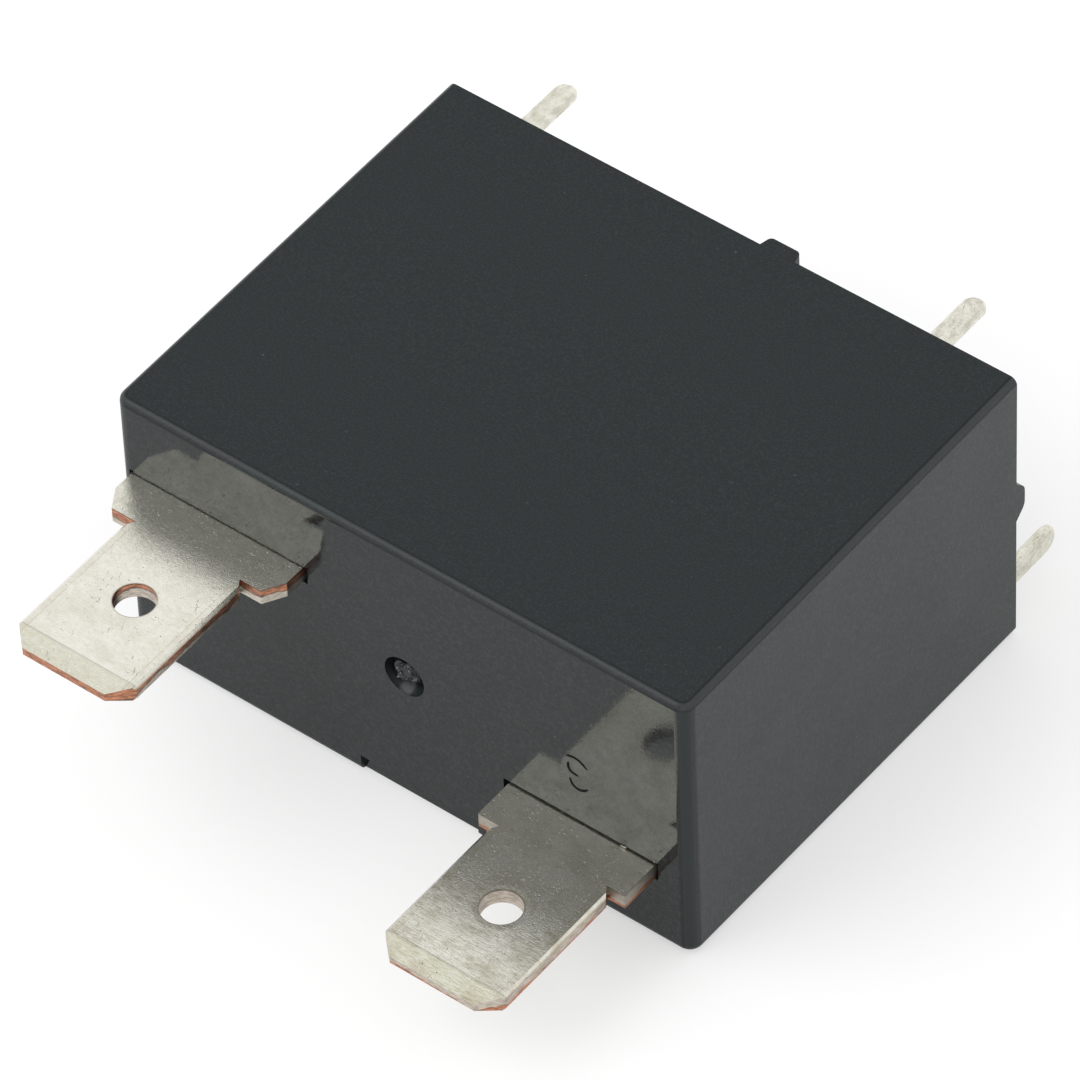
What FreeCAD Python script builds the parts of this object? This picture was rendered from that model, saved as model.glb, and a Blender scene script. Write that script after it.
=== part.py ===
"""Flat printed-board power relay with two blade tabs, modelled lying on its wide side.

Each piece is drawn in the case frame: x runs along the case from its left end, y runs from the
tab face towards the board pins and z runs up from the underside. The placement of each piece
then moves the whole relay so that its box stands centred over the origin.
"""
import FreeCAD, Part
import os
import re
import Sketcher

doc = FreeCAD.newDocument("power_relay")
sheet = doc.addObject("Spreadsheet::Sheet", "Sizes")
sub_parts = []

sizes = {
    # Case
    "case_length": 30.1,  # outside length, along x
    "case_depth": 22.9,  # tab face to mouth rim, along y
    "case_height": 15.7,  # outside height at the mouth, along z
    "draft_drop": 0.17,  # how far each wide side leans in at the tab face
    "wall": 0.8,  # side walls
    "tab_wall": 1.0,  # wall that the tabs come through
    "corner_round": 0.65,  # outside rounds of the two end edges of the tab face
    "edge_round": 0.36,  # outside rounds along the wide sides
    "slot_side_gap": 0.3,  # air left and right of a tab in its slot
    "slot_face_gap": 0.12,  # air above and below a tab in its slot
    "vent_x": 15.15,  # vent recess, from the left end
    "vent_z": 7.88,  # vent recess, from the underside
    "vent_bore": 2.1,  # diameter of the vent recess
    "vent_sink": 0.6,  # depth of the vent recess
    "nib_bore": 0.9,  # diameter of the broken nib in the vent
    "nib_reach": 0.4,  # height of the nib above the recess floor
    "nib_left": 0.22,  # nib left of the middle of the vent
    "nib_high": 0.15,  # nib above the middle of the vent
    "notch_left": 12.45,  # start of the notch under the tab face
    "notch_length": 6.3,  # length of that notch
    "notch_rise": 1.15,  # top of that notch, from the underside
    "notch_sink": 0.3,  # depth of that notch
    "foot_reach": 0.6,  # stand-off feet beyond the mouth rim
    "foot_x": 17.6,  # middle of the feet on the wide sides
    "foot_width": 1.84,  # foot on a wide side, at its root
    "foot_lean": 0.14,  # how far each flank of that foot leans in
    "foot_round": 0.25,  # outer corners of the feet on the wide sides
    "end_foot_z": 8.1,  # middle of the feet on the end walls
    "end_foot_width": 2.3,  # foot on an end wall, at its root
    "end_foot_lean": 0.6,  # how far each flank of an end foot leans in
    "end_foot_round": 0.6,  # outer corners of the end feet

    # Clearances
    "fit_gap": 0.05,  # moulded piece in the case
    "press_gap": 0.02,  # pin, rivet or core in its hole
    "pivot_gap": 0.02,  # armature edge off the yoke edge
    "window_gap": 0.25,  # blade in the window of the lever
    "window_under": 0.125,  # blade above the lower edge of that window

    # Tabs and their terminals
    "tab_width": 6.3,  # blade tab
    "plate_thick": 0.8,  # terminal stock
    "tab_reach": 10.3,  # tab tip beyond the tab face
    "tab_chamfer": 0.95,  # corner cut at the tab tip
    "tip_bevel": 0.9,  # length of the coined lead-in at the tip
    "tip_bevel_drop": 0.2,  # how much each face drops at the tip
    "side_bevel": 0.15,  # coined bevel along the tab sides
    "tab_bore": 1.9,  # detent hole
    "tab_bore_back": 4.7,  # detent hole, from the tab tip
    "shoulder_reach": 2.1,  # shoulders beyond the tab face
    "relief_width": 0.35,  # relief cut beside the tab root
    "relief_reach": 0.55,  # length of that relief
    "left_tab_x": 5.43,  # middle of the left tab
    "left_edge": 0.72,  # left terminal, shoulder
    "left_far_edge": 9.95,  # left terminal, other shoulder
    "left_plate_down": 5.2,  # underside of the left plate, below the top of the case
    "left_corner": 0.6,  # shoulder corner cut across the left terminal
    "left_corner_reach": 1.0,  # the same cut along the tab
    "left_root": 1.15,  # left terminal inside the case, first edge
    "left_plate_back": 6.8,  # left plate, from the tab face to its back edge
    "arm_front": 1.2,  # arm along the tab wall, near edge
    "arm_width": 1.6,  # that arm
    "right_tab_in": 5.58,  # middle of the right tab, from the right end
    "right_edge_in": 9.53,  # right terminal, shoulder, from the right end
    "right_far_in": 1.85,  # right terminal, other shoulder, from the right end
    "right_plate_z": 4.02,  # underside of the right plate
    "right_plate_back": 7.6,  # right plate, from the tab face to its back edge
    "leg_start": 4.2,  # start of the fold down to the right pin
    "fold_round": 0.72,  # outside round of that fold

    # Board pins
    "pin_reach": 27.25,  # pin tips, from the tab face
    "pin_thick": 0.4,  # coined thickness of the load pins
    "pin_round": 0.54,  # round of the pin tips
    "right_pin_round": 0.7,  # the same for the pin of the right terminal
    "pin_bevel": 0.1,  # bevel along the edges of every pin
    "left_pin_in": 5.05,  # pin of the left terminal, from the right end
    "low_row": 1.8,  # lower row of pins, from the underside
    "high_row": 2.0,  # upper row of pins, below the top of the case
    "left_pin_width": 1.1,  # pin of the left terminal, along x
    "right_pin_in": 1.25,  # pin of the right terminal, from the right end
    "right_pin_width": 1.45,  # pin of the right terminal, along z
    "coil_pin_x": 3.22,  # both coil pins
    "coil_pin_width": 1.1,  # coil pin, along x
    "coil_pin_thick": 0.4,  # coil pin, along z
    "coil_pin_top": 18.6,  # inner end of a coil pin, from the tab face

    # Base and seal
    "base_front": 20.9,  # inner face of the base, from the tab face
    "base_thick": 1.5,  # base plate
    "seal_thick": 0.3,  # sealing resin over the base
    "barrier_in": 4.1,  # barrier between armature and right terminal, from the right end
    "barrier_thick": 0.8,  # that barrier
    "barrier_low": 1.7,  # lower edge of the barrier
    "barrier_high": 9.6,  # upper edge of the barrier
    "tower_x": 1.15,  # tower that carries the left plate
    "tower_length": 2.6,  # that tower, along x
    "tower_under": 1.6,  # tower below the left plate
    "tower_over": 1.0,  # tower above the left plate
    "tongue_reach": 1.8,  # tongue of the left plate in its tower
    "rail_height": 2.2,  # rails beside the bobbin flanges
    "rail_thick": 0.35,  # those rails
    "rest_length": 9.0,  # rest under the yoke, along x
    "rest_inset": 0.3,  # that rest inside the yoke's faces

    # Magnet
    "magnet_under": 0.5,  # air under the flanges
    "magnet_over": 0.95,  # air over the yoke
    "flange_thick": 0.9,  # bobbin flanges
    "flange_round": 0.8,  # flange corners
    "bobbin_left": 6.4,  # outer face of the left flange
    "bobbin_in": 9.7,  # outer face of the right flange, from the right end
    "tube_outer": 6.2,  # bobbin tube
    "winding_rim": 0.35,  # winding inside the edge of the flanges
    "tape_thick": 0.12,  # tape round the winding
    "winding_gap": 0.1,  # winding off each flange
    "core_bore": 5.0,  # core
    "core_neck": 3.6,  # riveted end of the core
    "core_rivet": 0.3,  # upset head outside the yoke
    "pole_bore": 8.6,  # pole head
    "pole_thick": 1.0,  # pole head
    "yoke_thick": 1.6,  # yoke stock
    "yoke_width": 9.6,  # yoke, along y
    "yoke_bend": 0.5,  # inside radius of the yoke bend
    "yoke_short": 0.6,  # short leg of the yoke, above the underside of the flanges
    "stake_bore": 1.0,  # stakes that hold the spring
    "stake_reach": 0.4,  # height of the stakes
    "lead_bore": 0.24,  # coil leads
    "lead_inset": 0.36,  # leads, from the inner face of the base
    "lead_run": 0.3,  # straight start of a lead at its pin, and before the flange
    "lead_end": 0.5,  # end of a lead, from the coil axis
    "notch_offset": 2.75,  # flange notches for the leads, from the coil axis
    "notch_half": 0.72,  # half the width of such a notch, and its depth
    "winding_crown": 0.48,  # bevel at both ends of the winding
    "tape_inset": 0.72,  # tape, from the ends of the winding

    # Armature and lever
    "armature_swing": 4.3,  # open angle
    "blade_share": 0.8,  # turn of the blade for each degree of the armature
    "armature_thick": 1.4,  # armature stock
    "armature_width": 9.4,  # armature, along y
    "armature_lap": 0.05,  # armature beyond the pole head
    "armature_rise": 0.3,  # armature above its pivot edge
    "ear_reach": 2.9,  # ear that carries the lever, along y
    "ear_low": 3.3,  # lower edge of the ear, below the pivot edge
    "ear_high": 0.5,  # upper edge of the ear, below the pivot edge
    "lever_front": 4.2,  # lever beam, nearest the tab face
    "lever_back": 8.2,  # lever beam, far side
    "lever_tip": 10.7,  # finger, from the left end
    "finger_thick": 1.2,  # finger, along x
    "finger_rim": 0.9,  # frame round the window of the finger
    "beam_high": 3.4,  # top of the beam, below the pivot edge
    "beam_thick": 1.4,  # beam
    "block_front": 0.9,  # lever block in front of the armature
    "block_rim": 0.8,  # lever block round the ear

    # Contact blade
    "blade_thick": 0.25,  # blade stock
    "blade_width": 3.6,  # blade, along y
    "blade_front": 3.8,  # edge of the blade, from the tab face
    "contact_gap": 0.95,  # between the open contacts
    "blade_tip": 3.9,  # free end, from the left end
    "blade_end_in": 2.1,  # riveted end, from the right end
    "blade_root_in": 9.8,  # line that the blade flexes about, from the right end
    "blade_ramp": 2.8,  # sloping stretch beside the root
    "blade_rivet_bore": 1.5,  # rivets at the root
    "blade_rivet_in": 6.9,  # first rivet, from the right end
    "blade_rivet_pitch": 3.2,  # to the second rivet
    "rivet_head": 2.4,  # head of a root rivet
    "rivet_head_thick": 0.45,  # the same
    "contact_x": 6.0,  # middle of the contacts
    "contact_bore": 3.2,  # contact heads
    "contact_thick": 0.9,  # contact heads
    "contact_dome": 0.25,  # crown of the moving contact
    "contact_shank": 1.6,  # contact shanks
    "contact_tail": 2.2,  # upset tails
    "contact_tail_thick": 0.3,  # the same

    # Return spring
    "leaf_thick": 0.15,  # spring stock
    "leaf_width": 5.0,  # spring, along y
    "leaf_back": 8.95,  # riveted end, from the pole face
    "leaf_crank": 2.0,  # middle of the crank, from the pole face
    "leaf_rise": 0.35,  # crank over the armature edge
    "leaf_drop": 1.6,  # tongue down the armature
    "stake_back": 7.25,  # first stake, from the pole face
    "stake_pitch": 2.6,  # to the second stake
}

for row, (name, size) in enumerate(sizes.items(), 1):
    sheet.set("A%d" % row, name)
    sheet.set("B%d" % row, str(size))
    sheet.setAlias("B%d" % row, name)
doc.recompute()

# Sizes and places that follow from those, such as what is measured from the far end of the case.
derived = {
    "right_tab_x": "case_length - right_tab_in",
    "right_edge": "case_length - right_edge_in",
    "right_far_edge": "case_length - right_far_in",
    "right_pin_x": "case_length - right_pin_in",
    "left_pin_x": "case_length - left_pin_in",
    "high_row_z": "case_height - high_row",
    "left_plate_z": "case_height - left_plate_down",
    "blade_z": "left_plate_z - 2 * contact_thick - contact_gap - blade_thick",
    "barrier_x": "case_length - barrier_in",
    "blade_root": "case_length - blade_root_in",
    "blade_rivet_x": "case_length - blade_rivet_in",
    "blade_end": "case_length - blade_end_in",
    "bobbin_length": "case_length - bobbin_left - bobbin_in",
    "flange_size": "case_height - 2 * wall - magnet_under - magnet_over - fit_gap - yoke_thick",
    "coil_z": "wall + magnet_under + flange_size / 2",
    "winding_outer": "flange_size - 2 * winding_rim",
    "yoke_low": "wall + magnet_under + yoke_short",
    "armature_drop": "flange_size / 2 + fit_gap + yoke_thick + pole_bore / 2 + armature_lap",
    "leaf_start": "bobbin_left + bobbin_length + fit_gap + pole_thick - leaf_back",
    "stake_x": "bobbin_left + bobbin_length + fit_gap + pole_thick - stake_back",
}

# Places that several pieces share.
COIL_Y = "(base_front - flange_size / 2)"
YOKE_LEFT = "(bobbin_left - yoke_thick - fit_gap)"
YOKE_Z = "(coil_z + flange_size / 2 + fit_gap)"
YOKE_FRONT = "(%s - yoke_width / 2)" % COIL_Y
YOKE_BACK = "(%s + yoke_width / 2)" % COIL_Y
POLE_LEFT = "(bobbin_left + bobbin_length + fit_gap)"
POLE_FACE = "(%s + pole_thick)" % POLE_LEFT
PIVOT_Z = "(%s + yoke_thick)" % YOKE_Z
BASE_BACK = "(base_front + base_thick)"
LEFT_TOP = "(left_plate_z + plate_thick)"
RIGHT_TOP = "(right_plate_z + plate_thick)"
BLADE_Y = "(blade_front + blade_width / 2)"
LEFT_LEG_X = "(left_pin_x - left_pin_width / 2)"
RIGHT_LEG_X = "(right_pin_x - plate_thick / 2)"
WINDING_LEFT = "(bobbin_left + flange_thick + winding_gap)"
WINDING_LENGTH = "(bobbin_length - 2 * flange_thick - 2 * winding_gap)"
LEVER_LEFT = "(lever_tip - %s - pivot_gap)" % POLE_FACE
CENTRE_X = "(-case_length / 2)"
CENTRE_Y = "(-(pin_reach - tab_reach) / 2)"


def spelled_out(text):
    """An expression with each derived name replaced by what it stands for."""
    for name in re.findall(r"[a-z_]+", text):
        if name in derived:
            return spelled_out(re.sub(r"\b%s\b" % name, "(%s)" % derived[name], text))
    return text


def value(text):
    """The present number of a size expression."""
    return float(sheet.evalExpression(spelled_out(text)))


def bound(text):
    """The same expression with its names pointing at the sheet."""
    return re.sub(r"[a-z]+_[a-z_]+|wall", lambda name: "Sizes." + name.group(0), spelled_out(text))


def sub_part(label):
    """A new body in the case frame, moved so that the relay is centred over the origin."""
    body = doc.addObject("PartDesign::Body", label)
    body.Label = label
    body.setExpression("Placement.Base.x", bound(CENTRE_X))
    body.setExpression("Placement.Base.y", bound(CENTRE_Y))
    sub_parts.append(body)
    return body


def hang_on_pivot(body):
    """Put a body drawn about the armature's pivot edge there, tilted to the open position."""
    body.Placement.Rotation.Axis = FreeCAD.Vector(0, 1, 0)
    body.setExpression("Placement.Base.x", bound("%s + %s + pivot_gap" % (CENTRE_X, POLE_FACE)))
    body.setExpression("Placement.Base.z", bound(PIVOT_Z))
    body.setExpression("Placement.Rotation.Angle", bound("-armature_swing * 1deg"))


def sketch(body, plane, name, at="0"):
    """A sketch on one of the body's origin planes, set off along that plane's axis."""
    origin_plane = [item for item in body.Origin.OriginFeatures if item.Role == plane + "_Plane"][0]
    drawing = body.newObject("Sketcher::SketchObject", name)
    drawing.AttachmentSupport = [(origin_plane, "")]
    drawing.MapMode = "FlatFace"
    side = "-" if plane == "XZ" else ""
    drawing.setExpression("AttachmentOffset.Base.z", bound("%s(%s)" % (side, at)))
    return drawing


def hold_point(drawing, geometry, end, place):
    """Fix a point of the sketch at two size expressions."""
    for kind, text in zip(("DistanceX", "DistanceY"), place):
        number = drawing.addConstraint(Sketcher.Constraint(kind, -1, 1, geometry, end, value(text)))
        drawing.setExpression("Constraints[%d]" % number, bound(text))


def outline(drawing, corners):
    """A closed outline of straight edges through corners given as size expressions."""
    first = drawing.GeometryCount
    route(drawing, corners + corners[:1])
    drawing.addConstraint(Sketcher.Constraint("Coincident", first + len(corners) - 1, 2, first, 1))


def route(drawing, corners):
    """Straight edges end to end through corners given as size expressions."""
    points = [FreeCAD.Vector(value(across), value(up), 0) for across, up in corners]
    first = drawing.GeometryCount
    edges = [Part.LineSegment(here, there) for here, there in zip(points, points[1:])]
    drawing.addGeometry(edges, False)
    last = first + len(edges) - 1
    for number, corner in enumerate(corners[:-1], first):
        hold_point(drawing, number, 1, corner)
        if number < last:
            drawing.addConstraint(Sketcher.Constraint("Coincident", number, 2, number + 1, 1))
    if corners[-1] != corners[0]:
        hold_point(drawing, last, 2, corners[-1])


def box(drawing, left, low, right, high):
    """A rectangle between two opposite corners."""
    outline(drawing, [(left, low), (right, low), (right, high), (left, high)])


def circle(drawing, across, up, diameter):
    """A circle about a point."""
    middle = FreeCAD.Vector(value(across), value(up), 0)
    ring = Part.Circle(middle, FreeCAD.Vector(0, 0, 1), value(diameter) / 2)
    number = drawing.addGeometry(ring, False)
    hold_point(drawing, number, 3, (across, up))
    size = drawing.addConstraint(Sketcher.Constraint("Diameter", number, value(diameter)))
    drawing.setExpression("Constraints[%d]" % size, bound(diameter))


def pad(body, drawing, name, length, backward=False):
    """Raise a sketch towards +x, +y or +z, or the other way."""
    towards_plus = drawing.AttachmentSupport[0][0].Role != "XZ_Plane"
    feature = body.newObject("PartDesign::Pad", name)
    feature.Profile = drawing
    feature.Length = value(length)
    feature.setExpression("Length", bound(length))
    feature.Reversed = towards_plus == backward
    doc.recompute()
    return feature


def pocket(body, drawing, name, length, backward=False):
    """Cut a sketch out towards +x, +y or +z, or the other way, and make sure that it cuts."""
    before = body.Shape.Volume
    towards_plus = drawing.AttachmentSupport[0][0].Role == "XZ_Plane"
    feature = body.newObject("PartDesign::Pocket", name)
    feature.Profile = drawing
    feature.Length = value(length)
    feature.setExpression("Length", bound(length))
    feature.Reversed = towards_plus == backward
    doc.recompute()
    if body.Shape.Volume >= before - 1e-6:
        raise RuntimeError(name + " cuts nothing")
    return feature


def turn(body, drawing, name):
    """Revolve a sketch on the XY plane about its own first construction line."""
    feature = body.newObject("PartDesign::Revolution", name)
    feature.Profile = drawing
    feature.ReferenceAxis = (drawing, ["Axis0"])
    feature.Angle = 360
    doc.recompute()
    return feature


def axis_line(drawing, start, end):
    """A construction line to turn a profile about."""
    points = [FreeCAD.Vector(value(across), value(up), 0) for across, up in (start, end)]
    number = drawing.addGeometry(Part.LineSegment(*points), True)
    hold_point(drawing, number, 1, start)
    hold_point(drawing, number, 2, end)


def edges_where(shape, test):
    """Names of the edges whose middle point and direction pass a test."""
    names = []
    for number, edge in enumerate(shape.Edges, 1):
        middle = edge.CenterOfMass
        span = edge.BoundBox
        if test(middle, span):
            names.append("Edge%d" % number)
    return names


def dress(body, kind, name, size, test):
    """Round or chamfer the edges that pass a test."""
    base = body.Tip
    names = edges_where(base.Shape, test)
    if not names:
        raise RuntimeError(name + " finds no edge")
    feature = body.newObject("PartDesign::" + kind, name)
    feature.Base = (base, names)
    field = "Radius" if kind == "Fillet" else "Size"
    setattr(feature, field, value(size))
    feature.setExpression(field, bound(size))
    doc.recompute()
    return feature


def near(first, second, slack=0.02):
    """Whether two lengths agree."""
    return abs(first - second) < slack


def case_cover():
    """Deep five-walled cover with drafted wide sides, tab slots, vent, notch and feet."""
    body = sub_part("case_cover")
    side = sketch(body, "YZ", "case_side")
    outline(side, [("0", "draft_drop"), ("case_depth", "0"), ("case_depth", "case_height"),
                   ("0", "case_height - draft_drop")])
    pad(body, side, "case_block", "case_length")
    dress(body, "Fillet", "case_corner_rounds", "corner_round",
          lambda middle, span: near(middle.y, 0) and span.ZLength > value("case_height / 2"))
    top = value("case_height - draft_drop")
    low = value("draft_drop")
    mouth = value("case_depth")
    dress(body, "Fillet", "case_edge_rounds", "edge_round",
          lambda middle, span: (middle.z > top - 0.01 or middle.z < low + 0.01)
          and not near(middle.y, mouth) and span.ZLength < 1)

    inside = sketch(body, "YZ", "case_cavity_side", "wall")
    outline(inside, [("tab_wall", "wall + draft_drop"), ("case_depth + wall", "wall"),
                     ("case_depth + wall", "case_height - wall"),
                     ("tab_wall", "case_height - wall - draft_drop")])
    pocket(body, inside, "case_cavity", "case_length - 2 * wall")

    slots = sketch(body, "XZ", "case_slots_outline")
    box(slots, "left_edge - slot_side_gap / 2", "left_plate_z - slot_face_gap",
        "left_far_edge + slot_side_gap", LEFT_TOP + " + slot_face_gap")
    box(slots, "right_edge - slot_side_gap", "right_plate_z - slot_face_gap",
        "right_far_edge + slot_side_gap", RIGHT_TOP + " + slot_face_gap")
    pocket(body, slots, "case_slots", "tab_wall")

    vent = sketch(body, "XZ", "vent_outline")
    circle(vent, "vent_x", "vent_z", "vent_bore")
    pocket(body, vent, "vent_recess", "vent_sink")
    nib = sketch(body, "XZ", "nib_outline", "vent_sink")
    circle(nib, "vent_x - nib_left", "vent_z + nib_high", "nib_bore")
    pad(body, nib, "vent_nib", "nib_reach", backward=True)

    notch = sketch(body, "XZ", "notch_outline")
    box(notch, "notch_left", "-wall", "notch_left + notch_length", "notch_rise")
    pocket(body, notch, "lower_notch", "notch_sink")

    for name, low, high in (("low_foot", "0", "wall"), ("high_foot", "case_height - wall", "case_height")):
        foot = sketch(body, "XY", name + "_outline", low)
        outline(foot, [("foot_x - foot_width / 2", "case_depth"),
                       ("foot_x + foot_width / 2", "case_depth"),
                       ("foot_x + foot_width / 2 - foot_lean", "case_depth + foot_reach"),
                       ("foot_x - foot_width / 2 + foot_lean", "case_depth + foot_reach")])
        pad(body, foot, name, "%s - (%s)" % (high, low))
    for name, left in (("left_foot", "0"), ("right_foot", "case_length - wall")):
        foot = sketch(body, "YZ", name + "_outline", left)
        outline(foot, [("case_depth", "end_foot_z - end_foot_width / 2"),
                       ("case_depth + foot_reach", "end_foot_z - end_foot_width / 2 + end_foot_lean"),
                       ("case_depth + foot_reach", "end_foot_z + end_foot_width / 2 - end_foot_lean"),
                       ("case_depth", "end_foot_z + end_foot_width / 2")])
        pad(body, foot, name, "wall")
    foot_top = value("case_depth + foot_reach")
    for name, across, size in (("foot_rounds", "ZLength", "foot_round"),
                               ("end_foot_rounds", "XLength", "end_foot_round")):
        dress(body, "Fillet", name, size,
              lambda middle, span: near(middle.y, foot_top) and near(getattr(span, across), value("wall"))
              and near(span.XLength + span.ZLength, value("wall")))


def pin_slots(drawing, gap):
    """The four board pins in section, each grown by a gap."""
    box(drawing, LEFT_LEG_X + " - " + gap, "high_row_z - plate_thick / 2 - " + gap,
        LEFT_LEG_X + " + left_pin_width + " + gap, "high_row_z + plate_thick / 2 + " + gap)
    box(drawing, RIGHT_LEG_X + " - " + gap, "low_row - right_pin_width / 2 - " + gap,
        RIGHT_LEG_X + " + plate_thick + " + gap, "low_row + right_pin_width / 2 + " + gap)
    for place in ("low_row", "high_row_z"):
        box(drawing, "coil_pin_x - coil_pin_width / 2 - " + gap, place + " - coil_pin_thick / 2 - " + gap,
            "coil_pin_x + coil_pin_width / 2 + " + gap, place + " + coil_pin_thick / 2 + " + gap)


def base():
    """Base plate with the barrier, the tower for the left plate and rails beside the bobbin."""
    body = sub_part("base")
    plate = sketch(body, "XZ", "base_outline", "base_front")
    box(plate, "wall + fit_gap", "wall + fit_gap", "case_length - wall - fit_gap",
        "case_height - wall - fit_gap")
    pad(body, plate, "base_plate", "base_thick")
    dress(body, "Fillet", "base_corners", "corner_round",
          lambda middle, span: near(span.YLength, value("base_thick")) and span.XLength < 0.01)

    barrier = sketch(body, "XZ", "barrier_outline", "right_plate_back + fit_gap")
    box(barrier, "barrier_x", "barrier_low", "barrier_x + barrier_thick", "barrier_high")
    pad(body, barrier, "barrier", "base_front - right_plate_back - fit_gap")

    tower = sketch(body, "XZ", "tower_outline", "left_plate_back + fit_gap")
    box(tower, "tower_x", "left_plate_z - tower_under", "tower_x + tower_length", LEFT_TOP + " + tower_over")
    pad(body, tower, "tower", "base_front - left_plate_back - fit_gap")
    tongue = sketch(body, "XZ", "tongue_slot_outline", "left_plate_back + fit_gap")
    box(tongue, "tower_x - fit_gap", "left_plate_z - fit_gap", "left_root + tongue_reach + fit_gap",
        LEFT_TOP + " + fit_gap")
    pocket(body, tongue, "tongue_slot", "tongue_reach")

    rails = sketch(body, "XZ", "rails_outline", "base_front - rail_height")
    under = "coil_z - flange_size / 2 - fit_gap"
    for left in ("bobbin_left", "bobbin_left + bobbin_length - flange_thick"):
        box(rails, left, under + " - rail_thick", left + " + flange_thick", under)
    pad(body, rails, "rails", "rail_height")

    rest = sketch(body, "XZ", "yoke_rest_outline", YOKE_BACK + " + press_gap")
    box(rest, POLE_LEFT + " - rest_length", YOKE_Z + " + rest_inset", POLE_LEFT, PIVOT_Z + " - rest_inset")
    pad(body, rest, "yoke_rest", "base_front - %s - press_gap" % YOKE_BACK)

    holes = sketch(body, "XZ", "base_pin_outline", "base_front")
    pin_slots(holes, "press_gap")
    pocket(body, holes, "base_pin_slots", "base_thick")


def sealing_resin():
    """Resin poured level over the base, round the pins."""
    body = sub_part("sealing_resin")
    layer = sketch(body, "XZ", "seal_outline", BASE_BACK)
    box(layer, "wall + press_gap", "wall + press_gap", "case_length - wall - press_gap",
        "case_height - wall - press_gap")
    pad(body, layer, "seal_layer", "seal_thick")
    holes = sketch(body, "XZ", "seal_pin_outline", BASE_BACK)
    pin_slots(holes, "press_gap")
    pocket(body, holes, "seal_pin_slots", "seal_thick")


def round_tab(body, middle, plate_z, plate_name):
    """Detent hole, coined lead-in and side bevels of a blade tab."""
    hole = sketch(body, "XY", plate_name + "_hole_outline", plate_z)
    circle(hole, middle, "tab_bore_back - tab_reach", "tab_bore")
    pocket(body, hole, plate_name + "_hole", "plate_thick", backward=False)
    left = "%s - tab_width" % middle
    for name, face, drop in (("low", plate_z, "tip_bevel_drop"),
                             ("high", plate_z + " + plate_thick", "-tip_bevel_drop")):
        wedge = sketch(body, "YZ", "%s_%s_wedge" % (plate_name, name), left)
        outline(wedge, [("-tab_reach - tip_bevel", face), ("tip_bevel - tab_reach", face),
                        ("-tab_reach - tip_bevel", "%s + 2 * (%s)" % (face, drop))])
        pocket(body, wedge, "%s_%s_lead_in" % (plate_name, name), "2 * tab_width")
    flank = value("tab_width / 2")
    dress(body, "Chamfer", plate_name + "_side_bevels", "side_bevel",
          lambda place, span: near(abs(place.x - value(middle)), flank) and span.YLength > flank)


def terminal_left():
    """Left tab, its plate, the arm along the tab wall and the cranked leg to its board pin."""
    body = sub_part("terminal_left")
    half = "tab_width / 2"
    plate = sketch(body, "XY", "left_plate_outline", "left_plate_z")
    outline(plate, [
        ("left_tab_x - %s + tab_chamfer" % half, "-tab_reach"),
        ("left_tab_x + %s - tab_chamfer" % half, "-tab_reach"),
        ("left_tab_x + %s" % half, "tab_chamfer - tab_reach"),
        ("left_tab_x + %s" % half, "-shoulder_reach - relief_reach"),
        ("left_tab_x + %s - relief_width" % half, "-shoulder_reach"),
        ("left_far_edge - left_corner", "-shoulder_reach"),
        ("left_far_edge", "left_corner_reach - shoulder_reach"),
        ("left_far_edge", "arm_front"),
        (LEFT_LEG_X + " + left_pin_width", "arm_front"),
        (LEFT_LEG_X + " + left_pin_width", "arm_front + arm_width"),
        ("left_far_edge", "arm_front + arm_width"),
        ("left_far_edge", "left_plate_back"),
        ("left_root + tongue_reach", "left_plate_back"),
        ("left_root + tongue_reach", "left_plate_back + tongue_reach"),
        ("left_root", "left_plate_back + tongue_reach"),
        ("left_root", "tab_wall"),
        ("left_edge", "tab_wall"),
        ("left_edge", "left_corner_reach - shoulder_reach"),
        ("left_edge + left_corner", "-shoulder_reach"),
        ("left_tab_x - %s + relief_width" % half, "-shoulder_reach"),
        ("left_tab_x - %s" % half, "-shoulder_reach - relief_reach"),
        ("left_tab_x - %s" % half, "tab_chamfer - tab_reach"),
    ])
    pad(body, plate, "left_plate", "plate_thick")

    leg = sketch(body, "YZ", "left_leg_side", LEFT_LEG_X)
    low = "high_row_z - plate_thick / 2"
    high = "high_row_z + plate_thick / 2"
    crank = "(arm_front + arm_width)"
    outline(leg, [
        ("arm_front", "left_plate_z"),
        (crank, "left_plate_z"),
        (crank + " + high_row_z - left_plate_z", low),
        (BASE_BACK + " + seal_thick", low),
        (BASE_BACK + " + seal_thick", "high_row_z - pin_thick / 2"),
        ("pin_reach", "high_row_z - pin_thick / 2"),
        ("pin_reach", "high_row_z + pin_thick / 2"),
        (BASE_BACK + " + seal_thick", "high_row_z + pin_thick / 2"),
        (BASE_BACK + " + seal_thick", high),
        (crank + " + high_row_z - left_plate_z - plate_thick / 2", high),
        (crank + " - plate_thick / 2", LEFT_TOP),
        ("arm_front", LEFT_TOP),
    ])
    pad(body, leg, "left_leg", "left_pin_width")
    rivet = sketch(body, "XY", "left_contact_outline", "left_plate_z")
    circle(rivet, "contact_x", BLADE_Y, "contact_shank + 2 * press_gap")
    pocket(body, rivet, "left_contact_hole", "plate_thick", backward=False)
    round_tab(body, "left_tab_x", "left_plate_z", "left_tab")
    round_pin(body, "left_pin", "ZLength", "pin_thick", "pin_round")


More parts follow.
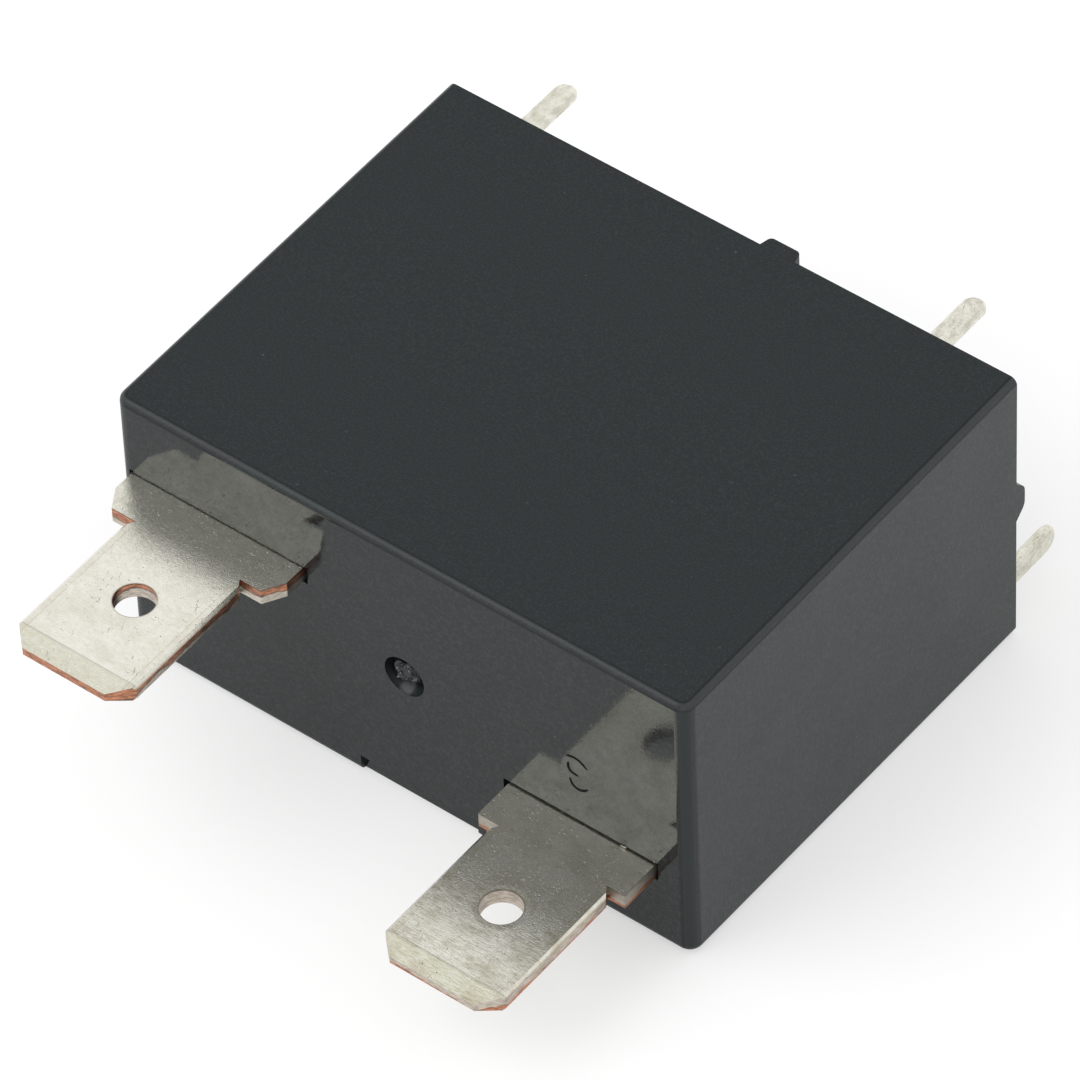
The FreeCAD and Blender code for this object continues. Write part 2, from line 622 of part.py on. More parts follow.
def terminal_right():
    """Right tab, its plate and the strip folded down beside the end wall to its board pin."""
    body = sub_part("terminal_right")
    half = "tab_width / 2"
    fold = "(%s + plate_thick)" % RIGHT_LEG_X
    plate = sketch(body, "XY", "right_plate_outline", "right_plate_z")
    outline(plate, [
        ("right_tab_x - %s + tab_chamfer" % half, "-tab_reach"),
        ("right_tab_x + %s - tab_chamfer" % half, "-tab_reach"),
        ("right_tab_x + %s" % half, "tab_chamfer - tab_reach"),
        ("right_tab_x + %s" % half, "-shoulder_reach - relief_reach"),
        ("right_tab_x + %s - relief_width" % half, "-shoulder_reach"),
        ("right_far_edge", "-shoulder_reach"),
        ("right_far_edge", "leg_start"),
        (fold, "leg_start"),
        (fold, "right_plate_back"),
        ("right_edge", "right_plate_back"),
        ("right_edge", "-shoulder_reach"),
        ("right_tab_x - %s + relief_width" % half, "-shoulder_reach"),
        ("right_tab_x - %s" % half, "-shoulder_reach - relief_reach"),
        ("right_tab_x - %s" % half, "tab_chamfer - tab_reach"),
    ])
    pad(body, plate, "right_plate", "plate_thick")

    leg = sketch(body, "YZ", "right_leg_side", RIGHT_LEG_X)
    low = "low_row - right_pin_width / 2"
    high = "low_row + right_pin_width / 2"
    outline(leg, [
        ("leg_start", "right_plate_z + plate_thick"),
        ("leg_start", low + " + plate_thick"),
        ("leg_start + plate_thick", low),
        (BASE_BACK + " + seal_thick", low),
        (BASE_BACK + " + seal_thick", high),
        ("right_plate_back + plate_thick", high),
        ("right_plate_back", "right_plate_z"),
        ("right_plate_back", "right_plate_z + plate_thick"),
    ])
    pad(body, leg, "right_leg", "plate_thick")
    pin = sketch(body, "YZ", "right_pin_side", "right_pin_x - pin_thick / 2")
    box(pin, BASE_BACK + " + seal_thick - plate_thick", low, "pin_reach", high)
    pad(body, pin, "right_pin", "pin_thick")
    dress(body, "Fillet", "right_fold_round", "fold_round",
          lambda middle, span: near(middle.x, value(fold)) and near(middle.z, value(RIGHT_TOP))
          and span.YLength > 1)
    holes = sketch(body, "XY", "right_rivet_outline", "right_plate_z")
    for place in ("blade_rivet_x", "blade_rivet_x + blade_rivet_pitch"):
        circle(holes, place, BLADE_Y, "blade_rivet_bore + 2 * press_gap")
    pocket(body, holes, "right_rivet_holes", "plate_thick", backward=False)
    round_tab(body, "right_tab_x", "right_plate_z", "right_tab")
    round_pin(body, "right_pin", "XLength", "pin_thick", "right_pin_round")


def round_pin(body, name, through, thick, nose):
    """Round a board pin's tip, and bevel the edges of both its flat faces outside the resin."""
    tip = value("pin_reach")
    root = value(BASE_BACK + " + seal_thick")
    dress(body, "Fillet", name + "_tip", nose,
          lambda middle, span: near(middle.y, tip) and near(getattr(span, through), value(thick)))
    dress(body, "Chamfer", name + "_bevel", "pin_bevel",
          lambda middle, span: middle.y > root + 0.1 and getattr(span, through) < 0.01)


def coil_pin(label, place):
    """Flat pin pressed through the base, with a rounded tip."""
    body = sub_part(label)
    flat = sketch(body, "XY", label + "_outline", place + " - coil_pin_thick / 2")
    box(flat, "coil_pin_x - coil_pin_width / 2", "coil_pin_top",
        "coil_pin_x + coil_pin_width / 2", "pin_reach")
    pad(body, flat, label + "_blade", "coil_pin_thick")
    round_pin(body, label, "ZLength", "coil_pin_thick", "pin_round")


def bobbin():
    """Spool with two square flanges, bored for the core and notched for the leads."""
    body = sub_part("bobbin")
    low = "coil_z - flange_size / 2"
    high = "coil_z + flange_size / 2"
    for name, left in (("left", "bobbin_left"), ("right", "bobbin_left + bobbin_length - flange_thick")):
        flange = sketch(body, "YZ", name + "_flange_outline", left)
        box(flange, "base_front - flange_size", low, "base_front", high)
        if name == "right":
            spool = sketch(body, "YZ", "tube_outline", "bobbin_left")
            circle(spool, COIL_Y, "coil_z", "tube_outer")
            pad(body, spool, "bobbin_tube", "bobbin_length")
        pad(body, flange, name + "_flange", "flange_thick")
    front = value("base_front - flange_size")
    dress(body, "Fillet", "flange_corners", "flange_round",
          lambda middle, span: near(span.XLength, value("flange_thick")) and near(middle.y, front))
    bore = sketch(body, "YZ", "bobbin_bore_outline", "bobbin_left")
    circle(bore, COIL_Y, "coil_z", "core_bore + 2 * press_gap")
    pocket(body, bore, "bobbin_bore", "bobbin_length")
    notches = sketch(body, "YZ", "lead_notch_outline", "bobbin_left")
    for middle in ("coil_z - notch_offset", "coil_z + notch_offset"):
        box(notches, "base_front - notch_half", middle + " - notch_half",
            "base_front + notch_half", middle + " + notch_half")
    pocket(body, notches, "lead_notches", "flange_thick")


def turned(label, profile):
    """A piece turned about the coil axis from a profile of (x, radius) corners."""
    body = sub_part(label)
    drawing = sketch(body, "XY", label + "_profile", "coil_z")
    axis_line(drawing, ("0", COIL_Y), ("case_length", COIL_Y))
    outline(drawing, [(along, "%s - (%s)" % (COIL_Y, radius)) for along, radius in profile])
    turn(body, drawing, label + "_turned")


def coil_winding():
    """Copper winding on the spool, a little crowned at its ends."""
    end = "%s + %s" % (WINDING_LEFT, WINDING_LENGTH)
    inner = "tube_outer / 2 + press_gap"
    outer = "winding_outer / 2"
    turned("coil_winding", [
        (WINDING_LEFT, inner), (end, inner), (end, outer + " - winding_crown"),
        (end + " - winding_crown", outer), (WINDING_LEFT + " + winding_crown", outer),
        (WINDING_LEFT, outer + " - winding_crown")])


def coil_tape():
    """Tape round the winding."""
    start = WINDING_LEFT + " + tape_inset"
    end = "%s + %s - tape_inset" % (WINDING_LEFT, WINDING_LENGTH)
    inner = "winding_outer / 2 + press_gap"
    turned("coil_tape", [(start, inner), (end, inner), (end, inner + " + tape_thick"),
                         (start, inner + " + tape_thick")])


def core():
    """Iron core: riveted neck, shank and pole head."""
    shoulder = "(bobbin_left - fit_gap)"
    turned("core", [
        (YOKE_LEFT + " - core_rivet", "0"),
        (YOKE_LEFT + " - core_rivet", "core_neck / 2"),
        (YOKE_LEFT, "core_neck / 2 + core_rivet"),
        (YOKE_LEFT, "core_neck / 2"),
        (shoulder, "core_neck / 2"),
        (shoulder, "core_bore / 2"),
        (POLE_LEFT, "core_bore / 2"),
        (POLE_LEFT, "pole_bore / 2"),
        (POLE_FACE, "pole_bore / 2"),
        (POLE_FACE, "0")])


def yoke():
    """Bent iron yoke: short leg behind the coil, long leg over it to the armature's edge."""
    body = sub_part("yoke")
    side = sketch(body, "XZ", "yoke_side", YOKE_FRONT)
    outline(side, [
        (YOKE_LEFT, "yoke_low"),
        (YOKE_LEFT + " + yoke_thick", "yoke_low"),
        (YOKE_LEFT + " + yoke_thick", YOKE_Z),
        (POLE_FACE, YOKE_Z),
        (POLE_FACE, PIVOT_Z),
        (YOKE_LEFT, PIVOT_Z)])
    pad(body, side, "yoke_strip", "yoke_width")
    corner_x = value(YOKE_LEFT)
    corner_z = value(PIVOT_Z)
    dress(body, "Fillet", "yoke_outer_bend", "yoke_bend + yoke_thick",
          lambda middle, span: near(middle.x, corner_x) and near(middle.z, corner_z))
    neck = sketch(body, "YZ", "yoke_neck_outline", YOKE_LEFT)
    circle(neck, COIL_Y, "coil_z", "core_neck + 2 * press_gap")
    pocket(body, neck, "yoke_neck_hole", "yoke_thick")
    stakes = sketch(body, "XY", "stake_outline", PIVOT_Z)
    for place in ("stake_x", "stake_x + stake_pitch"):
        circle(stakes, place, COIL_Y, "stake_bore")
    pad(body, stakes, "yoke_stakes", "stake_reach")


def return_spring():
    """Thin leaf staked to the yoke, cranked over the armature's top edge and down its face."""
    body = sub_part("return_spring")
    side = sketch(body, "XZ", "leaf_side", COIL_Y + " - leaf_width / 2")
    crest = "(%s + armature_rise + leaf_rise)" % PIVOT_Z
    crank = "(%s - leaf_crank)" % POLE_FACE
    outer = "(%s + pivot_gap + armature_thick + leaf_thick)" % POLE_FACE
    foot = "(%s - leaf_drop)" % PIVOT_Z
    outline(side, [
        ("leaf_start", PIVOT_Z),
        (crank + " - leaf_rise", PIVOT_Z),
        (crank + " + leaf_rise", crest),
        (outer, crest),
        (outer + " + leaf_thick", foot),
        (outer + " + 2 * leaf_thick", foot),
        (outer + " + leaf_thick", crest + " + leaf_thick"),
        (crank + " + leaf_rise", crest + " + leaf_thick"),
        (crank + " - leaf_rise", PIVOT_Z + " + leaf_thick"),
        ("leaf_start", PIVOT_Z + " + leaf_thick")])
    pad(body, side, "leaf", "leaf_width")
    holes = sketch(body, "XY", "leaf_holes_outline", PIVOT_Z)
    for place in ("stake_x", "stake_x + stake_pitch"):
        circle(holes, place, COIL_Y, "stake_bore + 2 * press_gap")
    pocket(body, holes, "leaf_holes", "leaf_thick", backward=False)


def armature():
    """Iron plate that tilts on the yoke's edge, with an ear on the tab side for the lever."""
    body = sub_part("armature")
    hang_on_pivot(body)
    face = sketch(body, "YZ", "armature_outline")
    front = "(%s - armature_width / 2)" % COIL_Y
    back = "(%s + armature_width / 2)" % COIL_Y
    outline(face, [
        (front, "-armature_drop"),
        (back, "-armature_drop"),
        (back, "armature_rise"),
        (front, "armature_rise"),
        (front, "-ear_high"),
        (front + " - ear_reach", "-ear_high"),
        (front + " - ear_reach", "-ear_low"),
        (front, "-ear_low")])
    pad(body, face, "armature_plate", "armature_thick")
    low = value("-armature_drop")
    dress(body, "Fillet", "armature_corners", "armature_thick",
          lambda middle, span: near(middle.z, low) and near(span.XLength, value("armature_thick"))
          and span.YLength < 0.01)


def lever():
    """Moulded lever: a block on the armature's ear, a beam and a finger that lifts the blade."""
    body = sub_part("lever")
    hang_on_pivot(body)
    ear_tip = "(%s - armature_width / 2 - ear_reach)" % COIL_Y
    block_low = "-ear_low - block_rim"
    block_high = "-ear_high + block_rim"
    block = sketch(body, "XZ", "lever_block_outline", "lever_front")
    box(block, "-block_front", block_low, "armature_thick + block_rim", block_high)
    pad(body, block, "lever_block", "%s + ear_reach / 2 - lever_front" % ear_tip)
    beam = sketch(body, "XZ", "lever_beam_side", "lever_front")
    box(beam, LEVER_LEFT, "-beam_high - beam_thick", "-block_front", "-beam_high")
    pad(body, beam, "lever_beam", "lever_back - lever_front")

    lift = "(blade_root - lever_tip) * tan(armature_swing * blade_share * 1deg)"
    shut = "(blade_z + blade_thick / 2 - %s + %s)" % (PIVOT_Z, lift)
    window_low = shut + " - blade_thick / 2 - window_under"
    window_high = shut + " + blade_thick / 2 + window_gap"
    finger = sketch(body, "YZ", "finger_outline", LEVER_LEFT)
    box(finger, "blade_front - window_gap - finger_rim", window_low + " - finger_rim",
        "blade_front + blade_width + window_gap + finger_rim", window_high + " + finger_rim")
    pad(body, finger, "lever_finger", "finger_thick")
    window = sketch(body, "YZ", "window_outline", LEVER_LEFT)
    box(window, "blade_front - window_gap", window_low,
        "blade_front + blade_width + window_gap", window_high)
    pocket(body, window, "lever_window", "finger_thick")
    ear = sketch(body, "XZ", "ear_slot_outline", ear_tip + " - press_gap")
    box(ear, "-press_gap", "-ear_low - press_gap", "armature_thick + press_gap", "press_gap - ear_high")
    pocket(body, ear, "ear_slot", "ear_reach")


def moving_blade():
    """Copper-alloy leaf riveted to the right plate, stepped up to the free end and its contact."""
    body = sub_part("moving_blade")
    ramp = "(blade_root - blade_ramp)"
    side = sketch(body, "XZ", "blade_side", "blade_front")
    outline(side, [
        ("blade_tip", "blade_z"),
        (ramp, "blade_z"),
        ("blade_root", RIGHT_TOP),
        ("blade_end", RIGHT_TOP),
        ("blade_end", RIGHT_TOP + " + blade_thick"),
        ("blade_root + blade_thick / 2", RIGHT_TOP + " + blade_thick"),
        (ramp + " + blade_thick / 2", "blade_z + blade_thick"),
        ("blade_tip", "blade_z + blade_thick")])
    pad(body, side, "blade_strip", "blade_width")
    holes = sketch(body, "XY", "blade_holes_outline", RIGHT_TOP)
    for place in ("blade_rivet_x", "blade_rivet_x + blade_rivet_pitch"):
        circle(holes, place, BLADE_Y, "blade_rivet_bore + 2 * press_gap")
    pocket(body, holes, "blade_root_holes", "blade_thick", backward=False)
    hole = sketch(body, "XY", "blade_contact_outline", "blade_z")
    circle(hole, "contact_x", BLADE_Y, "contact_shank + 2 * press_gap")
    pocket(body, hole, "blade_contact_hole", "blade_thick", backward=False)


def blade_rivet(number):
    """One of the two rivets that hold the blade to the right plate."""
    body = sub_part("blade_rivet_%d" % number)
    place = "(blade_rivet_x + %d * blade_rivet_pitch)" % (number - 1)
    top = "(%s + blade_thick)" % RIGHT_TOP
    for name, low, size, length in (
            ("tail", "right_plate_z - rivet_head_thick", "rivet_head", "rivet_head_thick"),
            ("shank", "right_plate_z - rivet_head_thick", "blade_rivet_bore",
             "plate_thick + blade_thick + 2 * rivet_head_thick"),
            ("head", top, "rivet_head", "rivet_head_thick")):
        round_part = sketch(body, "XY", "rivet_%d_%s_outline" % (number, name), low)
        circle(round_part, place, BLADE_Y, size)
        pad(body, round_part, "rivet_%d_%s" % (number, name), length)


def contact(label, stock_low, stock_thick, upward, crown):
    """A contact rivet through its stock, with its head above or below it."""
    body = sub_part(label)
    stock_high = "(%s + %s)" % (stock_low, stock_thick)
    sign = "+" if upward else "-"
    seat, other = (stock_high, stock_low) if upward else (stock_low, stock_high)
    back = "-" if upward else "+"
    drawing = sketch(body, "XZ", label + "_profile", BLADE_Y)
    axis_line(drawing, ("contact_x", "0"), ("contact_x", "case_height"))
    outline(drawing, [
        ("contact_x", "%s %s contact_tail_thick" % (other, back)),
        ("contact_x + contact_tail / 2", "%s %s contact_tail_thick" % (other, back)),
        ("contact_x + contact_tail / 2", other),
        ("contact_x + contact_shank / 2", other),
        ("contact_x + contact_shank / 2", seat),
        ("contact_x + contact_bore / 2", seat),
        ("contact_x + contact_bore / 2", "%s %s (contact_thick - %s)" % (seat, sign, crown)),
        ("contact_x + contact_bore / 4", "%s %s (contact_thick - %s / 4)" % (seat, sign, crown)),
        ("contact_x", "%s %s contact_thick" % (seat, sign))])
    turn(body, drawing, label + "_turned")


def coil_lead(label, pin_z, towards):
    """Enamelled wire from a coil pin, behind the yoke and through the flange notch to the winding."""
    body = sub_part(label)
    wire_y = "(base_front - lead_inset)"
    notch_z = "coil_z %s notch_offset" % towards
    start = "(coil_pin_x + coil_pin_width / 2 + press_gap)"
    over_winding = WINDING_LEFT + " + lead_bore / 2"
    section = sketch(body, "YZ", label + "_section", start)
    circle(section, wire_y, pin_z, "lead_bore")
    path = sketch(body, "XZ", label + "_path", wire_y)
    route(path, [(start, pin_z), (start + " + lead_run", pin_z), ("bobbin_left - lead_run", notch_z),
                 (over_winding, notch_z), (over_winding, "coil_z %s lead_end" % towards)])
    wire = body.newObject("PartDesign::AdditivePipe", label + "_wire")
    wire.Profile = section
    wire.Spine = (path, ["Edge%d" % (number + 1) for number in range(path.GeometryCount)])
    wire.Transition = "Right corner"
    doc.recompute()


def build():
    """Make every piece."""
    case_cover()
    base()
    sealing_resin()
    terminal_left()
    terminal_right()
    coil_pin("coil_pin_high", "high_row_z")
    coil_pin("coil_pin_low", "low_row")
    bobbin()
    coil_winding()
    coil_tape()
    core()
    yoke()
    return_spring()
    armature()
    lever()
    moving_blade()
    for number in (1, 2):
        blade_rivet(number)
    contact("moving_contact", "blade_z", "blade_thick", True, "contact_dome")
    contact("fixed_contact", "left_plate_z", "plate_thick", False, "contact_dome / 2")
    coil_lead("coil_lead_high", "high_row_z", "+")
    coil_lead("coil_lead_low", "low_row", "-")


def check():
    """Stop if any object failed or any sub-part is not one sound solid."""
    for item in doc.Objects:
        if "Invalid" in item.State or "Error" in item.State:
            raise RuntimeError("%s failed: %s" % (item.Label, item.State))
    for item in sub_parts:
        if item.Shape.isNull() or not item.Shape.isValid() or len(item.Shape.Solids) != 1:
            raise RuntimeError("%s is not one sound solid" % item.Label)


def write():
    """Write each sub-part to its own file."""
    os.makedirs("parts", exist_ok=True)
    for item in sub_parts:
        item.Shape.exportStep(os.path.join("parts", item.Label + ".step"))


build()
doc.recompute()
check()
write()
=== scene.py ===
"""Looks of a flat board relay: finishes for every piece, fine moulded detail, floor, light and camera."""

import math

import bmesh
import bpy
from bpy.props import FloatProperty, FloatVectorProperty, PointerProperty
from mathutils import Matrix, Vector, noise


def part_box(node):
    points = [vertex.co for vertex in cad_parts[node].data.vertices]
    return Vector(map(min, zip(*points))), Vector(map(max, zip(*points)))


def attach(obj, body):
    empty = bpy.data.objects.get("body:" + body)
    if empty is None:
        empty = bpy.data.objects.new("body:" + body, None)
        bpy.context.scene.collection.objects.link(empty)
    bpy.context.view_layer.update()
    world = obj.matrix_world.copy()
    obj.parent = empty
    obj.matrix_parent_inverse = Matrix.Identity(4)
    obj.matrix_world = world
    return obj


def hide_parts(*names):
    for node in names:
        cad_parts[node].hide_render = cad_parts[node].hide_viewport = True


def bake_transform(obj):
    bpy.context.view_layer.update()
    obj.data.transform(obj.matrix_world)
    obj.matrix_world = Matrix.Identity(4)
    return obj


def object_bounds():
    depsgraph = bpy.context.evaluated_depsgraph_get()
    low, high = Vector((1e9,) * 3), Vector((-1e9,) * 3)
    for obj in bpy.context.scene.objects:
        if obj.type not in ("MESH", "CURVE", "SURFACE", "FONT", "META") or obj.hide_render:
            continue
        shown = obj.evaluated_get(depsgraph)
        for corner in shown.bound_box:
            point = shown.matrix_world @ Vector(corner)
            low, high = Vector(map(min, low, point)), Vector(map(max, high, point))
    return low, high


bl_info = {
    "name": "Board relay looks",
    "version": (1, 0, 0),
    "blender": (4, 5, 0),
    "location": "3D View > Sidebar > Relay",
    "description": "Finishes, moulded detail, light and camera for a flat board relay",
    "category": "Object",
}

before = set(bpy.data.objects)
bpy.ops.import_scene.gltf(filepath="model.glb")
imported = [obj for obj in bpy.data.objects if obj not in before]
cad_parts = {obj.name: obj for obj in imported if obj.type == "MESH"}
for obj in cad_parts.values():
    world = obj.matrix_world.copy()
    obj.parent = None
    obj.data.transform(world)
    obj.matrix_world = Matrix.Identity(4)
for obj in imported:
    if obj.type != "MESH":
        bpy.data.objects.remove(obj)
cad_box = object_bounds()
case_low, case_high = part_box("case_cover")
seal_low, seal_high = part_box("sealing_resin")
MM = 0.001


def span_near(node, edge, reach):
    """Lowest and highest corner of the part of a node that lies within a reach of an edge, along Y."""
    places = [vertex.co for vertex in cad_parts[node].data.vertices]
    near = [place for place in places if abs(place.y - edge) < reach]
    return Vector(map(min, zip(*near))), Vector(map(max, zip(*near)))


class Signal:
    """One output of a shader tree. Arithmetic on it adds Math nodes."""

    def __init__(self, finish, socket):
        self.finish = finish
        self.socket = socket

    def maths(self, operation, *values):
        return self.finish.node("ShaderNodeMath", {"operation": operation}, dict(enumerate(values)))

    def __add__(self, other):
        return self.maths("ADD", self, other)

    def __radd__(self, other):
        return self.maths("ADD", other, self)

    def __sub__(self, other):
        return self.maths("SUBTRACT", self, other)

    def __rsub__(self, other):
        return self.maths("SUBTRACT", other, self)

    def __mul__(self, other):
        return self.maths("MULTIPLY", self, other)

    def __rmul__(self, other):
        return self.maths("MULTIPLY", other, self)

    def __abs__(self):
        return self.maths("ABSOLUTE", self)

    def root(self):
        return self.maths("SQRT", self)

    def sine(self):
        return self.maths("SINE", self)

    def larger(self, other):
        return self.maths("MAXIMUM", self, other)

    def above(self, edge, softness):
        """Nought under the edge, rising to one over the softness."""
        sockets = {"Value": self, "From Min": edge - softness / 2, "From Max": edge + softness / 2}
        return self.finish.node("ShaderNodeMapRange", {"interpolation_type": "SMOOTHSTEP"}, sockets)

    def below(self, edge, softness):
        """One under the edge, falling to nought over the softness."""
        return 1 - self.above(edge, softness)

    def part(self, name):
        """Another output of the same node."""
        return Signal(self.finish, self.socket.node.outputs[name])


class Finish:
    """The node tree of one material, in the object's own coordinates."""

    def __init__(self, name):
        self.material = bpy.data.materials.new(name)
        self.material.use_nodes = True
        self.tree = self.material.node_tree
        self.tree.nodes.clear()
        place = self.node("ShaderNodeTexCoord", output="Object")
        axes = self.node("ShaderNodeSeparateXYZ", sockets={"Vector": place}, output="X")
        facing = self.node("ShaderNodeSeparateXYZ", sockets={"Vector": place.part("Normal")}, output="X")
        self.place = place
        self.x, self.y, self.z = axes, axes.part("Y"), axes.part("Z")
        self.face_x, self.face_y, self.face_z = facing, facing.part("Y"), facing.part("Z")

    def node(self, kind, settings=None, sockets=None, output=0):
        """Any node: its settings are made first, then its sockets are set or linked."""
        made = self.tree.nodes.new(kind)
        for name, setting in (settings or {}).items():
            setattr(made, name, setting)
        for name, value in (sockets or {}).items():
            if isinstance(value, Signal):
                self.tree.links.new(value.socket, made.inputs[name])
            else:
                made.inputs[name].default_value = value
        return None if output is None else Signal(self, made.outputs[output])

    def stretched(self, x, y, z):
        """The place, scaled along each axis."""
        return self.node("ShaderNodeVectorMath", {"operation": "MULTIPLY"}, {0: self.place, 1: (x, y, z)})

    def noise(self, size, detail=3.0, roughness=0.5, place=None, distortion=0.0):
        """Soft noise with lumps of about a size in millimetres, from nought to one."""
        sockets = {"Vector": place or self.place, "Scale": 1 / (size * MM), "Detail": detail}
        return self.node(
            "ShaderNodeTexNoise", sockets={**sockets, "Roughness": roughness, "Distortion": distortion})

    def spots(self, size, share, softness):
        """Round spots about a size apart in millimetres: the larger the share, the wider they are."""
        sockets = {"Vector": self.place, "Scale": 1 / (size * MM), "Randomness": 1.0}
        distance = self.node("ShaderNodeTexVoronoi", {"feature": "F1"}, sockets, output="Distance")
        return distance.below(share, softness)

    def mix(self, share, first, second):
        """From the first colour to the second."""
        settings = {"data_type": "RGBA", "clamp_factor": True}
        return self.node("ShaderNodeMix", settings, {0: share, 6: shade(first), 7: shade(second)}, output=2)

    def relief(self, *layers):
        """Relief in layers from the lowest up, each a height from nought to one and a depth in millimetres."""
        normal = None
        for height, depth in layers:
            sockets = {"Height": height, "Distance": depth * MM, "Strength": 1.0}
            if normal is not None:
                sockets["Normal"] = normal
            normal = self.node("ShaderNodeBump", sockets=sockets, output="Normal")
        return normal

    def shader(self, sockets):
        """A Principled shader."""
        return self.node("ShaderNodeBsdfPrincipled", sockets=sockets, output="BSDF")

    def between(self, share, first, second):
        """From the first shader to the second."""
        return self.node("ShaderNodeMixShader", sockets={0: share, 1: first, 2: second})

    def scratches(self, lean, size, share):
        """Short fine scratches in one direction on the flat: the smaller the share, the more there are."""
        sockets = {"Vector": self.place, "Angle": lean}
        turned = self.node("ShaderNodeVectorRotate", {"rotation_type": "Z_AXIS"}, sockets)
        drawn = self.node("ShaderNodeVectorMath", {"operation": "MULTIPLY"}, {0: turned, 1: (0.14, 1.0, 1.0)})
        return self.noise(size, detail=2, roughness=0.5, place=drawn).above(share, 0.04)

    def finished(self, surface):
        """The material with its surface joined to the output."""
        self.node("ShaderNodeOutputMaterial", sockets={"Surface": surface}, output=None)
        return self.material

    def plain(self, colour, roughness, layers, others=None):
        """The material with one shader: its colour, its roughness, layers of relief and any other sockets."""
        sockets = {"Base Color": colour, "Roughness": roughness, **(others or {})}
        if layers:
            sockets["Normal"] = self.relief(*layers)
        return self.finished(self.shader(sockets))


def shade(colour):
    """A colour with its alpha, or a signal as it is."""
    return colour if isinstance(colour, Signal) else (*colour, 1.0)


def toned(colour, share):
    """A colour with each channel times a share."""
    return [channel * share for channel in colour]


def dress(material, *names):
    """Give CAD nodes a material."""
    for name in names:
        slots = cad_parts[name].data.materials
        slots.clear()
        slots.append(material)


def placed(name, data):
    """A new object in the scene."""
    made = bpy.data.objects.new(name, data)
    bpy.context.scene.collection.objects.link(made)
    return made


def add_piece(name, mesh, material, body):
    """A new object for a mesh, riding on a body."""
    piece = placed(name, mesh)
    mesh.materials.append(material)
    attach(piece, body)


def tint(name, description, default):
    """A colour that the user may change."""
    return FloatVectorProperty(
        name=name, description=description, subtype="COLOR", size=3, min=0, max=1, default=default)


def factor(name, description, default):
    """A share from nought to one that the user may change."""
    return FloatProperty(name=name, description=description, subtype="FACTOR", default=default, min=0, max=1)


def length(name, description, default):
    """A length that the user may change, with its default in millimetres."""
    return FloatProperty(name=name, description=description, unit="LENGTH", default=default * MM, precision=5)


def angle(name, description, default):
    """An angle that the user may change, with its default in degrees."""
    return FloatProperty(name=name, description=description, subtype="ANGLE", default=math.radians(default))


class CaseLook(bpy.types.PropertyGroup):
    """Moulded case."""

    black: tint("Black", "Moulded plastic", (0.0062, 0.0106, 0.0120))
    # Pale colour of dust, specks and scuffs, also used for painted highlights on rounded edges and facets and for
    # painted glints.
    dust_and_highlight: tint("Dust", "Dust and scuffs on the plastic", (0.16, 0.165, 0.165))
    matte: factor("Matte", "Roughness of the textured faces", 0.45)
    wide_sheen: factor("Wide sheen", "Specular level of the wide faces", 0.26)
    end_sheen: factor("End sheen", "Specular level of the ends", 0.27)
    tab_sheen: factor("Tab sheen", "Specular level of the tab face", 0.245)
    gloss: factor("Gloss", "Roughness of the polished tab face", 0.06)
    grain: FloatProperty(
        name="Grain", description="Depth of the moulded grain, in millimetres", default=0.012, min=0, max=0.1,
    )


class TabLook(bpy.types.PropertyGroup):
    """Tinned copper terminals."""

    tin: tint("Tin", "Clean tin", (0.885, 0.87, 0.79))
    tarnish: tint("Tarnish", "Dull olive film on the tin", (0.42, 0.405, 0.26))
    stain: tint("Stain", "Brown stain in the film", (0.42, 0.36, 0.24))
    # Grey of the streaks on the pins.
    pin_grey: tint("Grime", "Grey stains on the pins", (0.36, 0.34, 0.29))
    copper: tint("Copper", "Bare copper on the sheared edges", (0.66, 0.28, 0.16))
    roughness: factor("Roughness", "Roughness of the rolled tin", 0.16)
    bore: length("Detent bore", "Diameter of the hole in a tab", 1.9)
    bore_back: length("Detent place", "From the tip to the hole", 4.7)
    coined: length("Coined tip", "Length of the bevelled tip", 1.0)


class InsideLook(bpy.types.PropertyGroup):
    """Pieces inside the case."""

    spool: tint("Spool", "Plastic of the bobbin", (0.55, 0.50, 0.40))
    lever: tint("Lever", "Plastic of the lever", (0.66, 0.63, 0.55))
    enamel: tint("Enamel", "Enamelled copper wire", (0.42, 0.12, 0.045))
    wire: length("Wire", "Pitch of the winding", 0.11)
    tape: tint("Tape", "Tape round the winding", (0.62, 0.42, 0.07))
    iron: tint("Iron", "Plated soft iron", (0.58, 0.57, 0.54))
    steel: tint("Steel", "Spring steel", (0.62, 0.60, 0.56))
    bronze: tint("Blade", "Copper alloy of the blade", (0.74, 0.40, 0.24))
    spring_bend: length("Spring bend", "From the yoke's end back to where the return spring leaves it", 2.3)
    blade_free: length("Blade free", "From the first rivet's head to where the blade starts to bend", 1.1)
    blade_bend: length("Blade bend", "Length over which the blade bends", 3.6)
    brass: tint("Rivets", "Brass of the rivets", (0.78, 0.58, 0.27))
    silver: tint("Contacts", "Silver alloy of the contacts", (0.84, 0.83, 0.80))


class MarkLook(bpy.types.PropertyGroup):
    """Small marks: the numeral on the tab face, the torn nib in the vent and the resin's rise at the walls."""

    numeral_in: length("Numeral in", "From the right end to the numeral", 5.84)
    numeral_up: length("Numeral up", "From the underside to the numeral", 7.83)
    line: length("Line", "Width of an engraved line", 0.15)
    vent_in: length("Vent in", "From the left end to the vent", 15.15)
    vent_up: length("Vent up", "From the underside to the vent", 7.88)
    vent_bore: length("Vent bore", "Diameter of the vent recess", 2.1)
    vent_sink: length("Vent sink", "Depth of the vent recess", 0.6)
    resin_rise: length("Resin rise", "Rise of the resin at pins and walls", 0.35)


